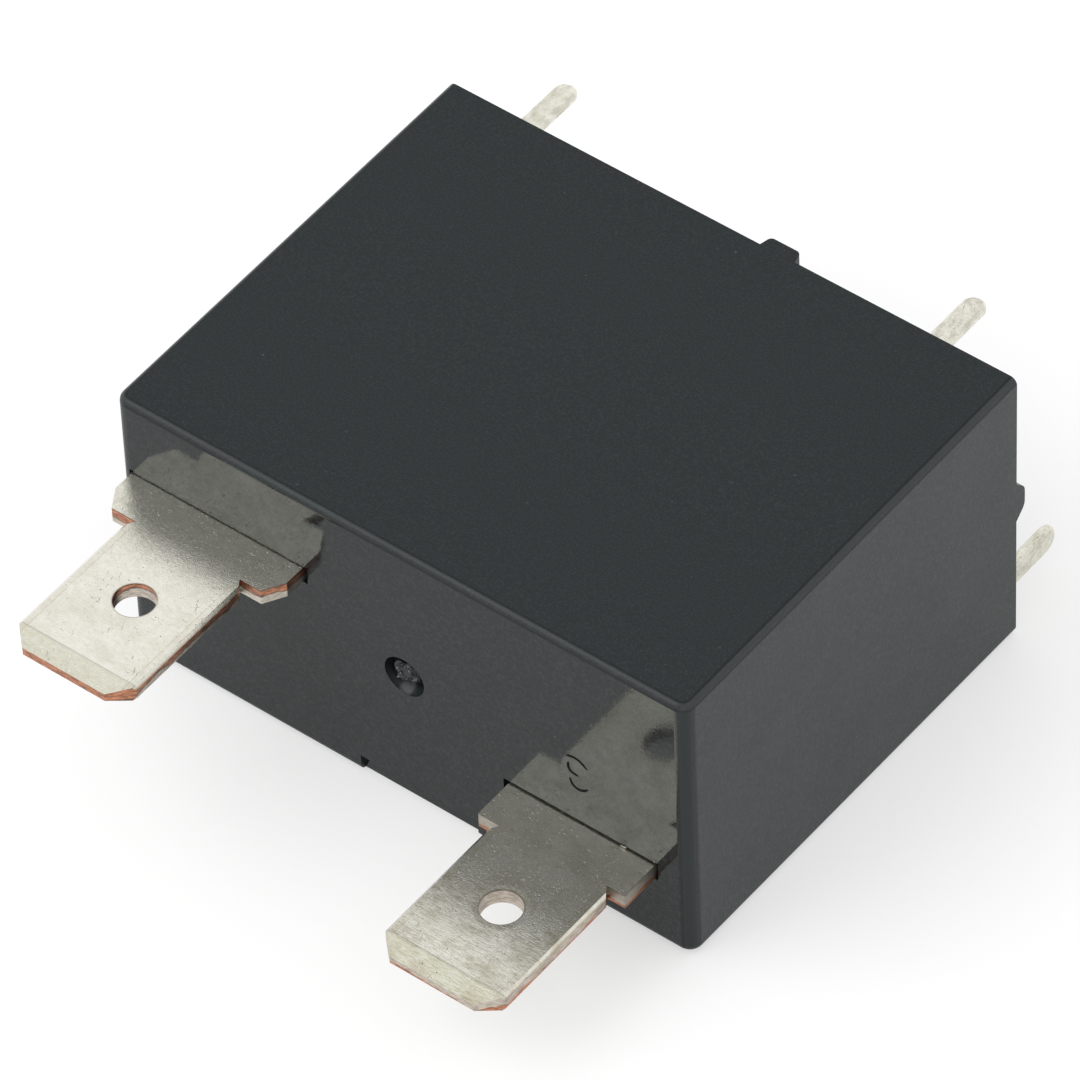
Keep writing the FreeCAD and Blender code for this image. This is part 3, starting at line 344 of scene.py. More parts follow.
class StageLook(bpy.types.PropertyGroup):
    """Floor, light and camera."""

    floor: tint("Floor", "Pale floor", (0.46, 0.46, 0.46))
    aim: FloatVectorProperty(
        name="Aim", description="Point that the camera looks at", subtype="TRANSLATION", unit="LENGTH", size=3,
        default=(-0.567 * MM, 1.612 * MM, 7.056 * MM), precision=5,
    )
    distance: FloatProperty(
        name="Distance", description="From the aim to the camera", unit="LENGTH", default=0.4358, min=0.1,
    )
    azimuth: angle("Azimuth", "Camera round the object", 39.642)
    elevation: angle("Elevation", "Camera above the floor", 47.189)
    roll: angle("Roll", "Camera about its own axis", -2.6)
    lens: FloatProperty(
        name="Lens", description="Focal length in millimetres", default=342.9, min=20, max=500,
    )
    glow: FloatProperty(name="Glow", description="Light from the floor, as a light table gives", default=0.51, min=0)
    ambient: FloatProperty(name="Ambient", description="Brightness of the studio", default=0.98, min=0)
    key: FloatProperty(name="Key", description="Power of the soft box, in watts", default=1.5, min=0)
    key_size: FloatProperty(name="Key size", description="Side of the soft box", unit="LENGTH", default=0.44)
    key_place: FloatVectorProperty(
        name="Key place", description="Middle of the soft box", subtype="TRANSLATION", unit="LENGTH", size=3,
        default=(-0.26, -0.32, 0.45),
    )


def moulded_black(look):
    """Fine moulded grain on the wide faces and ends, a polished tab face in a darker painted shade, painted
    highlights on the rounds with lines of painted shade along their creases, specks and faint scuffs.
    """
    finish = Finish("moulded_black")
    tab_face = (finish.face_y * -1).above(0.97, 0.04) * finish.y.below(case_low.y + 0.7 * MM, 0.2 * MM)
    end_face = abs(finish.face_x).above(0.93, 0.08) * abs(finish.x).above(case_high.x - 0.8 * MM, 0.1 * MM)
    turned = 1 - abs(finish.face_x).larger(abs(finish.face_y)).larger(abs(finish.face_z))
    rounds = turned.above(0.06, 0.08)
    upright = rounds * abs(finish.face_z).below(0.35, 0.3)
    crease_shade = turned.above(0.004, 0.006) * turned.below(0.06, 0.06)
    cloud = finish.noise(3.0, detail=4)
    fine = finish.noise(0.09, detail=2)
    coarse = finish.noise(0.15, detail=4, roughness=0.75)
    speck = finish.spots(0.9, 0.055, 0.03) * finish.noise(2.2).above(0.58, 0.1)
    scuff_place = finish.stretched(0.25, 1.0, 1.0)
    scuff = finish.noise(0.22, detail=5, roughness=0.7, place=scuff_place).above(0.71, 0.05) * cloud.above(0.55, 0.2)
    colour = finish.mix(cloud * 0.25, look.black, toned(look.black, 1.35))
    # Painted shade: the polished tab face takes a darker copy of the black.
    colour = finish.mix(tab_face * 0.6, colour, toned(look.black, 0.5))
    colour = finish.mix(fine.above(0.58, 0.3) * (0.07 - end_face * 0.03 - tab_face * 0.04), colour, look.dust_and_highlight)
    colour = finish.mix(coarse.above(0.55, 0.16) * (end_face * 0.12 + tab_face * 0.08), colour, look.dust_and_highlight)
    colour = finish.mix(speck * 0.3, colour, look.dust_and_highlight)
    colour = finish.mix(scuff * 0.1, colour, look.dust_and_highlight)
    # Painted highlight: pale dust colour on the rounded edges, more where they turn towards the ends.
    side_round_highlight = rounds * abs(finish.face_x).above(0.35, 0.4)
    colour = finish.mix(rounds * (0.035 + cloud * 0.07) + side_round_highlight * 0.1, colour, look.dust_and_highlight)
    colour = finish.mix(upright * 0.85, colour, look.black)
    # Painted shade: a dark line along the creases where the rounds meet the flat faces.
    colour = finish.mix(crease_shade * 0.6, colour, toned(look.black, 0.3))
    matte = look.matte + (cloud - 0.5) * 0.1 - end_face * 0.1 - rounds * 0.08
    smudge = finish.noise(1.3, detail=3).above(0.55, 0.35)
    gloss = look.gloss + smudge * 0.03 + speck * 0.2
    haze = finish.noise(0.13, detail=5, roughness=0.75) * 0.5 + finish.noise(0.9, detail=4) * 0.5
    peel = finish.noise(0.2, detail=3, roughness=0.6)
    wave = finish.noise(4.0, detail=1)
    relief = finish.relief((fine * (1 - tab_face * 0.9), look.grain), (peel * tab_face, 0.0022), (wave, 0.004))
    sockets = {"Base Color": colour, "Roughness": matte, "Normal": relief}
    textured = finish.shader({**sockets, "Specular IOR Level": look.wide_sheen})
    ends = finish.shader({**sockets, "Specular IOR Level": look.end_sheen})
    polished = finish.shader({**sockets, "Roughness": gloss, "Specular IOR Level": look.tab_sheen})
    shown = tab_face * (1 - haze.above(0.5, 0.2) * 0.22)
    return finish.finished(finish.between(shown, finish.between(end_face, textured, ends), polished))


def torn_black(look):
    """Torn plastic of a broken nib: dull, with thin curled glints along its ridges."""
    finish = Finish("torn_black")
    ridges = finish.noise(0.2, detail=3, roughness=0.55, distortion=1.0)
    curl = abs(ridges - 0.56).below(0.018, 0.02) * finish.noise(0.5).above(0.45, 0.1)
    colour = finish.mix(curl * 0.75, look.black, toned(look.dust_and_highlight, 2.2))
    return finish.plain(colour, 0.3 + ridges * 0.1, [(ridges, 0.1)], {"Specular IOR Level": 0.4})


def vent_black(look):
    """The vent's wall: dark, with a painted highlight on one paler upward facing facet at its lowest place."""
    finish = Finish("vent_black")
    grain = finish.noise(0.12, detail=3)
    facet_highlight = finish.face_z.above(0.6, 0.2) * finish.face_x.below(0.3, 0.2) * finish.face_x.above(-0.2, 0.2)
    # Painted highlight: the facet that faces up at the bottom of the wall is paler.
    colour = finish.mix(facet_highlight * (0.16 + grain * 0.3), look.black, look.dust_and_highlight)
    return finish.plain(colour, 0.4 + grain * 0.1, [(grain, 0.01)], {"Specular IOR Level": 0.3})


def groove_shade(look):
    """Painted shade in an engraved line: near black, darker than the plastic, with a slight sheen."""
    finish = Finish("groove_shade")
    tone = finish.noise(0.2, detail=2)
    # Painted shade: the line is near black, darker than the plastic around it.
    colour = finish.mix(tone * 0.5, (0.001, 0.001, 0.001), look.black)
    return finish.plain(colour, 0.6 + tone * 0.2, [(tone, 0.004)], {"Specular IOR Level": 0.1})


def inner_black(look):
    """Plain black moulding with a fine grain."""
    finish = Finish("inner_black")
    cloud = finish.noise(2.0, detail=4)
    fine = finish.noise(0.11, detail=2)
    colour = finish.mix(cloud * 0.5, look.black, toned(look.black, 1.8))
    return finish.plain(colour, look.matte + cloud * 0.1, [(fine, look.grain)])


def poured_resin(look):
    """Black resin, poured and cured: glossy, slightly wavy, with a few tiny bubbles."""
    finish = Finish("poured_resin")
    wave = finish.noise(3.5, detail=2)
    bubble = finish.spots(1.3, 0.09, 0.04) * finish.noise(3.0).above(0.5, 0.1)
    dusty = finish.noise(0.8, detail=6, roughness=0.7).above(0.56, 0.25)
    colour = finish.mix(dusty * 0.05, toned(look.black, 0.8), look.dust_and_highlight)
    layers = [(wave, 0.12), (1 - bubble, 0.05)]
    return finish.plain(colour, 0.13 + dusty * 0.12, layers, {"Specular IOR Level": 0.5})


class TabPlan:
    """Places on one tab in its finish, worked out from the tab's own corners."""

    def __init__(self, finish, look, node):
        shoulder, root_reach, past_hole = 2.6 * MM, 3.2 * MM, 1.5 * MM
        self.low, self.high = span_near(node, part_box(node)[0].y, look.bore_back)
        hole_y = self.low.y + look.bore_back
        across = finish.x - (self.low.x + self.high.x) / 2
        along = finish.y - hole_y
        self.bore = look.bore / 2
        self.from_hole = (across * across + along * along).root()
        self.fold = self.low.y + look.coined
        self.aside = abs(across)
        self.half = (self.high.x - self.low.x) / 2
        self.blade = finish.y.below(case_low.y - shoulder, 0.3 * MM)
        self.tip_zone = finish.y.below(hole_y + past_hole, 5.0 * MM)
        self.root_zone = finish.y.above(case_low.y - root_reach, 3.0 * MM)
        self.sheared = (1 - abs(finish.face_z)).above(0.8, 0.25)


def tab_outline(plan, mottle):
    """The strips pressed along a tab's sides, the lines beside them, and the tab's browned outline."""
    wide, rim = 0.42 * MM, 0.045 * MM
    strip = plan.half - wide
    pressed = plan.aside.above(strip, 0.06 * MM) * plan.blade
    line = abs(plan.aside - strip).below(0.025 * MM, 0.04 * MM) * plan.blade * mottle.above(0.42, 0.2)
    browned = plan.aside.above(plan.half - rim, 0.05 * MM) * plan.blade
    browned = browned.larger(plan.from_hole.below(plan.bore + rim, 0.05 * MM))
    return pressed, line, browned


def rolled_tin(finish, look, plan, film):
    """Colour, roughness and layers of relief of a tab's flats.

    They have brushed streaks, cross scratches, pits, a dull film with painted shade towards the case, a coined tip
    with painted shade on its bevel and fold line, and a rolled hole rim.
    """
    scraped, dirt_and_shade, brown = (0.93, 0.92, 0.88), (0.13, 0.12, 0.10), (0.26, 0.17, 0.11)
    brushed = finish.noise(0.05, detail=5, roughness=0.75, place=finish.stretched(0.1, 1.0, 1.0))
    rolled = finish.noise(0.1, detail=4, roughness=0.7, place=finish.stretched(1.0, 0.12, 1.0))
    grit = finish.noise(0.07, detail=3, roughness=0.7)
    blotch = finish.noise(1.4, detail=6, roughness=0.65)
    mottle = finish.noise(0.26, detail=6, roughness=0.75)
    stain = finish.noise(0.9, detail=7, roughness=0.7, place=finish.stretched(0.6, 1.0, 1.0)).above(0.54, 0.2)
    scratch = finish.scratches(0.6, 0.045, 0.715).larger(finish.scratches(-0.9, 0.045, 0.72))
    scratch = scratch.larger(finish.scratches(1.9, 0.045, 0.72)) * blotch.above(0.45, 0.2)
    gouge = finish.scratches(1.2, 0.07, 0.71).larger(finish.scratches(0.1, 0.06, 0.72))
    gouge = gouge * finish.noise(1.9).above(0.5, 0.1)
    pit = finish.spots(0.4, 0.08, 0.05) * finish.noise(1.2, detail=3).above(0.5, 0.1)
    drawn = finish.noise(0.035, detail=2, place=finish.stretched(0.055, 1.0, 1.0)).above(0.64, 0.05)
    pressed, press_line, browned = tab_outline(plan, mottle)
    tip = finish.y.below(plan.fold, 0.12 * MM)
    fold = abs(finish.y - plan.fold).below(0.035 * MM, 0.05 * MM)
    rim = plan.from_hole.below(plan.bore + 0.22 * MM, 0.3 * MM)
    streak = brushed.above(0.56, 0.1)
    # Here and in the dull share below, towards the case the tin gets duller and darker: mottled tarnish and painted
    # shade.
    worn = mottle.above(0.5, 0.25) * (0.14 + plan.root_zone * 0.12)
    dull = blotch.above(0.55, 0.25) * 0.12 * film + streak * (0.06 + plan.tip_zone * 0.34 * film)
    # The coined tip is greyer: a duller coined finish and painted shade of its bevel.
    dull = dull + tip * 0.3 + rim * 0.03 + worn + plan.root_zone * 0.1
    on_pin = finish.y.above(seal_high.y, 0.2 * MM)
    # The fold line at the back of the coined tip is painted shade, in the dark colour of pits and gouges.
    marks = pit.larger(gouge * 0.8).larger(fold * 0.4).larger(drawn * plan.tip_zone * 0.35 * film)
    marks = marks.larger(grit.above(0.6, 0.12) * (0.14 + plan.root_zone * 0.14))
    colour = finish.mix(dull, look.tin, look.tarnish)
    colour = finish.mix(stain * (0.08 + 0.26 * film * plan.tip_zone), colour, look.stain)
    colour = finish.mix(on_pin * pin_streaks(finish) * 0.4, colour, look.pin_grey)
    colour = finish.mix(scratch * 0.3, colour, scraped)
    colour = finish.mix(marks * 0.65, colour, dirt_and_shade)
    colour = finish.mix(pressed * 0.1 + press_line * 0.3, colour, look.stain)
    colour = finish.mix(browned * 0.5, colour, brown)
    roughness = look.roughness + (brushed - 0.5) * 0.1 + dull * 0.12 + plan.sheared * 0.2
    dished = plan.from_hole.above(plan.bore + 0.15 * MM, 0.35 * MM)
    layers = [
        (brushed, 0.003), (rolled, 0.003), (grit, 0.0035), (mottle, 0.006), (scratch * 0.6 - gouge, 0.005),
        (1 - pit, 0.01), (dished, 0.006), (finish.noise(1.6, detail=2), 0.006),
    ]
    return colour, roughness, layers


def sheared_edge(finish, look, plan, film, flat, bare):
    """Colour of a tab's sheared edges over that of its flats.

    Bare copper with dark tears lies between the first two shares of their height, and smeared tin elsewhere. In the
    hole the copper starts at the third share.
    """
    bare_low, bare_high, bare_bore = bare
    pale_smear, dark_smear = (0.62, 0.54, 0.47), (0.20, 0.17, 0.14)
    smear_and_shade, edge_line_dark = (0.12, 0.10, 0.08), (0.06, 0.045, 0.035)
    thick = plan.high.z - plan.low.z
    ragged = finish.noise(0.4, detail=6, roughness=0.7, place=finish.stretched(0.5, 0.5, 1.6)) - 0.5
    drift = finish.noise(2.2, detail=1) - 0.5
    torn = finish.noise(0.16, detail=5, roughness=0.7, place=finish.stretched(0.4, 0.4, 1.6))
    share = (finish.z - plan.low.z) * (1 / thick) + ragged * 0.6 + drift * 0.8
    bore = plan.from_hole.below(plan.bore + 0.1 * MM, 0.05 * MM)
    tip_edge = finish.y.below(plan.low.y + 0.9 * MM, 0.2 * MM)
    start = bare_low + bore * (bare_bore - bare_low) - tip_edge * bare_low * 0.7
    outside = finish.y.below(seal_high.y - 1.0 * MM, 0.5 * MM)
    torn_open = plan.sheared * (share - start).above(0.0, 0.1) * share.below(bare_high, 0.1) * outside
    copper = finish.mix(torn.above(0.48, 0.3) * 0.9, look.copper, toned(look.copper, 0.3))
    smear = finish.mix(torn.above(0.5, 0.2) * 0.7, pale_smear, dark_smear)
    # Towards the case the sheared edges darken: dark smear and painted shade.
    smear = finish.mix(plan.root_zone * 0.45 * film, smear, smear_and_shade)
    colour = finish.mix(plan.sheared * 0.75 * outside, flat, smear)
    colour = finish.mix(torn_open * 0.95, colour, copper)
    arris = finish.z.above(plan.high.z - 0.06 * MM, 0.04 * MM)
    seam = (abs(share - start) * thick).below(0.035 * MM, 0.04 * MM)
    # Darker along the upper arris and along the lower boundary of the bare copper.
    return finish.mix(plan.sheared * arris.larger(seam) * outside * 0.7, colour, edge_line_dark)


def tinned_copper(look, node, film, bare):
    """Rolled tin over copper on a tab and its terminal, with a film of some strength and edges sheared bare."""
    finish = Finish(node + "_tin")
    plan = TabPlan(finish, look, node)
    flat, roughness, layers = rolled_tin(finish, look, plan, film)
    colour = sheared_edge(finish, look, plan, film, flat, bare)
    return finish.plain(colour, roughness, layers, {"Metallic": 1.0})


def pin_streaks(finish):
    """Grey streaks along a board pin, in patches."""
    drawn = finish.noise(0.3, detail=6, roughness=0.7, place=finish.stretched(1.0, 0.5, 1.0))
    return drawn.above(0.53, 0.16) * finish.noise(0.9, detail=2).above(0.4, 0.25)


def dipped_tin(look):
    """Matte whitish tin on the coil pins, slightly mottled."""
    finish = Finish("dipped_tin")
    mottle = finish.noise(0.7, detail=5, roughness=0.65)
    drawn = finish.noise(0.1, detail=3, place=finish.stretched(1.0, 0.15, 1.0))
    colour = finish.mix(mottle.above(0.48, 0.3) * 0.34 + drawn * 0.16, look.tin, look.tarnish)
    colour = finish.mix(pin_streaks(finish) * 0.35, colour, look.pin_grey)
    return finish.plain(colour, 0.3 + mottle * 0.15, [(mottle, 0.02), (drawn, 0.004)], {"Metallic": 1.0})


def moulded_plastic(name, base, grain_size=0.15):
    """Pale moulded plastic with flow clouds and a fine grain."""
    finish = Finish(name)
    flow = finish.noise(2.5, detail=4, distortion=0.6)
    grain = finish.noise(grain_size, detail=3)
    colour = finish.mix(flow, base, toned(base, 0.82))
    colour = finish.mix(grain.above(0.62, 0.1) * 0.08, colour, toned(base, 0.5))
    depths = {"Subsurface Weight": 0.08, "Subsurface Radius": (0.6 * MM, 0.5 * MM, 0.35 * MM)}
    return finish.plain(colour, 0.38 + flow * 0.15, [(grain, 0.01)], depths)


def wound_wire(look):
    """Lacquered wire laid turn beside turn along the spool, with the odd uneven turn, and painted shade in the
    grooves between turns.
    """
    finish = Finish("wound_wire")
    uneven = finish.noise(1.8, detail=2) * look.wire * 2.5
    crown = ((finish.x + uneven) * (2 * math.pi / look.wire)).sine() * 0.5 + 0.5
    lacquer = finish.noise(0.8, detail=4)
    # Painted shade: the colour darkens to a quarter in the grooves between turns, with random lacquer tone.
    colour = finish.mix(crown * 0.7 + lacquer * 0.2, toned(look.enamel, 0.25), look.enamel)
    coated = {"Metallic": 0.75, "Coat Weight": 0.3}
    return finish.plain(colour, 0.2 + lacquer * 0.12, [(crown, 0.03)], coated)


def lacquered_wire(look):
    """Lacquered copper of the leads."""
    finish = Finish("lacquered_wire")
    lacquer = finish.noise(0.35, detail=4)
    colour = finish.mix(lacquer, look.enamel, toned(look.enamel, 0.6))
    return finish.plain(colour, 0.2 + lacquer * 0.15, [(lacquer, 0.008)], {"Metallic": 0.75})


def wrapped_tape(look):
    """Amber tape with faint wrinkles across the wrap and the wire showing darker below."""
    finish = Finish("wrapped_tape")
    wrinkle = finish.noise(0.5, detail=4, place=finish.stretched(1.0, 0.25, 0.25))
    below = finish.noise(0.16, detail=2, place=finish.stretched(1.0, 0.1, 0.1))
    colour = finish.mix(below * 0.5, look.tape, toned(look.tape, 0.6))
    return finish.plain(colour, 0.18 + wrinkle * 0.2, [(wrinkle, 0.02)])


def worked_metal(name, base, rough, lay, mark):
    """Metal with a worked surface: fine lines whose lay is the stretch along each axis, mottling and dull marks."""
    finish = Finish(name)
    lines = finish.noise(0.12, detail=4, roughness=0.65, place=finish.stretched(*lay))
    mottle = finish.noise(0.9, detail=5, roughness=0.6)
    worn = finish.spots(0.7, 0.06, 0.04) * mottle.above(0.5, 0.2)
    colour = finish.mix(lines.above(0.5, 0.3) * 0.25 + mottle * mark * 0.4, base, toned(base, 0.6))
    colour = finish.mix(worn * mark, colour, toned(base, 0.25))
    roughness = rough + (lines - 0.5) * 0.15 + mottle * 0.1
    return finish.plain(colour, roughness, [(lines, 0.006), (mottle, 0.01)], {"Metallic": 1.0})


def mesh_from(name, form):
    """A mesh with outward faces from a finished form."""
    bmesh.ops.recalc_face_normals(form, faces=form.faces)
    mesh = bpy.data.meshes.new(name)
    form.to_mesh(mesh)
    form.free()
    mesh.shade_smooth()
    return mesh


def turns(count):
    """Angles at even steps round a full turn."""
    return [2 * math.pi * step / count for step in range(count)]


def heading(path, at):
    """The direction of a path at one of its places."""
    return (path[min(at + 1, len(path) - 1)] - path[max(at - 1, 0)]).normalized()


def skin(form, rings, closed=True):
    """Faces between rings of vertices that follow one another."""
    count = len(rings[0])
    last = count if closed else count - 1
    for first, second in zip(rings, rings[1:]):
        for at in range(last):
            after = (at + 1) % count
            form.faces.new((first[at], first[after], second[after], second[at]))


def on_tab_face(across, up, out=0.0):
    """A place on the tab face, from the case's left end and underside, out of the face or into it."""
    return Vector((case_low.x + across, case_low.y - out, case_low.z + up))


def engraved_stroke(form, middles, width):
    """One shallow line with round ends along smoothed middles on the tab face."""
    line = bpy.data.curves.new("stroke", "CURVE")
    line.dimensions = "3D"
    line.resolution_u = 8
    spline = line.splines.new("NURBS")
    spline.points.add(len(middles) - 1)
    for point, place in zip(spline.points, middles):
        point.co = (*place, 1.0)
    spline.order_u = 3
    spline.use_endpoint_u = True
    drawn = bpy.data.objects.new("stroke", line)
    path = [vertex.co.copy() for vertex in bpy.data.meshes.new_from_object(drawn).vertices]
    bpy.data.objects.remove(drawn)
    bpy.data.curves.remove(line)
    bluntness, thinnest, relief = 6, 0.02, 0.3
    rings = []
    for at, place in enumerate(path):
        share = at / (len(path) - 1)
        half = width / 2 * math.sqrt(max(1 - (2 * share - 1) ** bluntness, thinnest))
        ahead = heading(path, at)
        side = ahead.cross(Vector((0, 1, 0)))
        rings.append([
            form.verts.new(place + side * half * math.cos(turn) - Vector((0, half * relief * math.sin(turn), 0)))
            for turn in turns(8)[:5]
        ])
    skin(form, rings, closed=False)


def numeral_mesh(look):
    """An open numeral three in three engraved strokes."""
    middle_x = case_high.x - case_low.x - look.numeral_in
    strokes = (
        ((-0.54, 0.82), (-0.3, 0.96), (0.2, 0.93), (0.56, 0.6)),
        ((-0.43, 0.5), (-0.5, 0.2), (-0.3, -0.1), (0.08, -0.09)),
        ((-0.38, -0.43), (-0.37, -0.7), (-0.1, -0.95), (0.3, -0.9), (0.56, -0.62)),
    )
    proud = 0.002 * MM
    form = bmesh.new()
    for stroke in strokes:
        middles = [on_tab_face(middle_x + across * MM, look.numeral_up + up * MM, proud) for across, up in stroke]
        engraved_stroke(form, middles, look.line)
    return mesh_from("numeral_three", form)


def torn_nib_mesh(look):
    """The crust of a broken nib: an uneven crown round a torn hollow, risen from the vent's floor."""
    form = bmesh.new()
    middle = on_tab_face(look.vent_in, look.vent_up, -look.vent_sink)
    crown_share, waves = 0.31, 2.2
    reach = look.vent_bore * crown_share
    profile = ((1.0, 0.02), (0.95, 0.3), (0.82, 0.52), (0.66, 0.6), (0.5, 0.42), (0.3, 0.3), (0.12, 0.36))
    rings = []
    for share, rise in profile:
        ring = []
        for turn in turns(56):
            seed = Vector((math.cos(turn) * share * waves, math.sin(turn) * share * waves, share))
            uneven = noise.noise(seed) + 0.5 * noise.noise(seed * 2.7)
            out = reach * share * (1 + 0.2 * uneven)
            up = look.vent_sink * rise * (1.1 + 0.9 * uneven)
            ring.append(form.verts.new(middle + Vector((math.cos(turn) * out, -up, math.sin(turn) * out))))
        rings.append(ring)
    skin(form, rings)
    form.faces.new(rings[-1])
    return mesh_from("torn_nib", form)


def vent_lip_mesh(look):
    """The moulded cone round the inside of the vent, deeper on the lower side."""
    form = bmesh.new()
    middle = on_tab_face(look.vent_in, look.vent_up, 0)
    wide = look.vent_bore / 2
    profile = ((1.0, 0.01), (0.985, 0.14), (0.95, 0.3), (0.86, 0.62), (0.8, 0.98))
    rings = []
    for share, sink in profile:
        ring = []
        for turn in turns(72):
            lower = (1 - math.sin(turn)) / 2
            out = wide * (1 - (1 - share) * (0.12 + 1.1 * lower * lower))
            ring.append(form.verts.new(
                middle + Vector((math.cos(turn) * out, look.vent_sink * sink, math.sin(turn) * out))))
        rings.append(ring)
    skin(form, rings)
    return mesh_from("vent_lip", form)


def tab_slot(side):
    """The corners of a tab's slot in the tab face, and the height of the tab's upper side."""
    node = "terminal_" + side
    in_tip = 3.0 * MM
    end_round = 0.5 * MM
    slot_reach = 0.3 * MM
    low, high = span_near(node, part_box(node)[0].y, in_tip)
    rim = [vertex.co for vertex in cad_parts["case_cover"].data.vertices
           if abs(vertex.co.y - case_low.y) < 0.01 * MM and abs(vertex.co.x) < case_high.x - end_round
           and low.z - slot_reach < vertex.co.z < high.z + slot_reach]
    return Vector(map(min, zip(*rim))), Vector(map(max, zip(*rim))), high.z


def slot_flash_mesh(side, closed, ends):
    """Thin ragged flash in a tab's slot: down from its upper edge by a share of the gap, and in from its ends."""
    slot_low, slot_high, tab_top = tab_slot(side)
    case_corner = 0.66 * MM
    slot_low.x = max(slot_low.x, case_low.x + case_corner)
    depth = 0.3 * MM
    fullest = 0.93
    form = bmesh.new()
    steps = 160
    rings = []
    for step in range(steps + 1):
        x = slot_low.x + (slot_high.x - slot_low.x) * step / steps
        seed = Vector((x / MM * 1.7, 0.0, tab_top / MM))
        uneven = noise.noise(seed) * 0.5 + noise.noise(seed * 5.0) * 0.4
        reach = (slot_high.z - tab_top) * min(max(closed * (1 + 0.35 * uneven), 0.0), fullest)
        rings.append([
            form.verts.new((x, case_low.y + sink, slot_high.z - down))
            for sink, down in ((0.0, -0.01 * MM), (0.0, reach), (depth, reach * 0.8))
        ])
    skin(form, rings, closed=False)
    end_steps = 11
    for edge, inward, width in ((slot_low.x, 1, ends[0]), (slot_high.x, -1, ends[1])):
        rings = []
        for step in range(end_steps + 1):
            z = slot_low.z + (slot_high.z - slot_low.z) * step / end_steps
            reach = inward * width * MM * (0.85 + 0.3 * noise.noise(Vector((0.0, z / MM * 6.0, edge / MM))))
            rings.append([
                form.verts.new((edge + across, case_low.y + sink, z))
                for sink, across in ((0.0, 0.0), (0.0, reach), (depth, reach * 0.8))
            ])
        if width:
            skin(form, rings, closed=False)
    return mesh_from("slot_flash_" + side, form)


def tin_slivers_mesh():
    """Tiny curled slivers on the right tab where it enters the case: place, length, lean and curl, in millimetres."""
    tab_top = tab_slot("right")[2]
    slivers = ((11.4, 0.3, -0.1, 0.05), (11.52, 0.26, 0.5, 0.03), (13.16, 0.3, 1.35, 0.09))
    steps = 12
    half_width, thinnest, ripples = 0.014, 0.004, 17
    out, lift = 0.06, 0.05
    form = bmesh.new()
    for x, reach, lean, curl in slivers:
        rings = []
        for step in range(steps + 1):
            share = step / steps
            along = share * reach
            swell = math.sin(math.pi * (0.12 + 0.8 * share)) * (1 + 0.5 * math.sin(share * ripples))
            half = half_width * swell + thinnest
            rise = lift + curl * math.sin(share * math.pi * 1.4)
            middle = Vector((x + along * math.cos(lean), case_low.y / MM - out, tab_top / MM + rise))
            middle.z += along * math.sin(lean) * 0.9
            rings.append([
                form.verts.new((middle + Vector((0.0, -half * math.cos(turn), half * math.sin(turn)))) * MM)
                for turn in turns(6)
            ])
        skin(form, rings)
        form.faces.new(rings[0])
        form.faces.new(rings[-1])
    return mesh_from("tin_slivers", form)


def leaf_mesh(name, node, first, last):
    """A leaf node's mesh, cut across into short lengths between two places along it, so that it can flex."""
    form = bmesh.new()
    form.from_mesh(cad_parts[node].data)
    pitch = 0.2 * MM
    steps = max(round((last - first) / pitch), 1)
    for step in range(steps + 1):
        cut = first + (last - first) * step / steps
        every = form.verts[:] + form.edges[:] + form.faces[:]
        bmesh.ops.bisect_plane(form, geom=every, plane_co=(cut, 0, 0), plane_no=(1, 0, 0))
    mesh = bpy.data.meshes.new(name)
    form.to_mesh(mesh)
    form.free()
    return mesh


def add_leaf(name, node, material, clamped, free):
    """A leaf that stands for a node: its mesh cut into short lengths between where it is clamped to the housing and
    where it runs free, with the node hidden.
    """
    mesh = leaf_mesh(name, node, min(clamped, free), max(clamped, free))
    mesh.materials.clear()
    mesh.materials.append(material)
    leaf = placed(name, mesh)
    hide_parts(node)
    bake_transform(leaf)


def resin_rise_mesh(name, low, high, rise, inward):
    """The concave rise of the resin round a pin, or inward from the walls of the mouth."""
    form = bmesh.new()
    steps = 6
    sunk = 0.01 * MM
    fan = math.pi / 5
    spread = -0.9 if inward else 1.125
    rings = []
    for step in range(steps + 1):
        share = step / steps
        off = rise * spread * (1 - math.cos(share * math.pi / 2))
        up = rise * (1 - math.sin(share * math.pi / 2))
        ring = []
        corners = ((low.x, low.z, -1, -1), (high.x, low.z, 1, -1), (high.x, high.z, 1, 1), (low.x, high.z, -1, 1))
        for across, along, lean_x, lean_z in corners:
            start = math.atan2(lean_z, lean_x)
            for turn in (start - fan, start, start + fan):
                ring.append(form.verts.new((
                    across + off * math.cos(turn), seal_high.y + up - sunk, along + off * math.sin(turn))))
        rings.append(ring)
    skin(form, rings)
    return mesh_from(name, form)


def wrapped_lead_mesh(name, low, high, start_y, wire):
    """Turns of a lead wound tight round the inner end of a coil pin."""
    middle = Vector(((low.x + high.x) / 2, start_y, (low.z + high.z) / 2))
    half_x = (high.x - low.x) / 2 + wire / 2
    half_z = (high.z - low.z) / 2 + wire / 2
    wraps = 5
    around = 24
    pitch = wire * 1.15
    squareness = 1.25
    path = []
    for step in range(wraps * around + 1):
        turn = 2 * math.pi * step / around
        square_x = max(-1.0, min(1.0, math.cos(turn) * squareness))
        square_z = max(-1.0, min(1.0, math.sin(turn) * squareness))
        path.append(middle + Vector((square_x * half_x, pitch * step / around, square_z * half_z)))
    form = bmesh.new()
    rings = []
    for at, place in enumerate(path):
        ahead = heading(path, at)
        side = ahead.cross(Vector((0, 1, 0))).normalized()
        lift = side.cross(ahead)
        rings.append([
            form.verts.new(place + (side * math.cos(turn) + lift * math.sin(turn)) * wire / 2)
            for turn in turns(8)
        ])
    skin(form, rings)
    form.faces.new(rings[0])
    form.faces.new(rings[-1])
    return mesh_from(name, form)


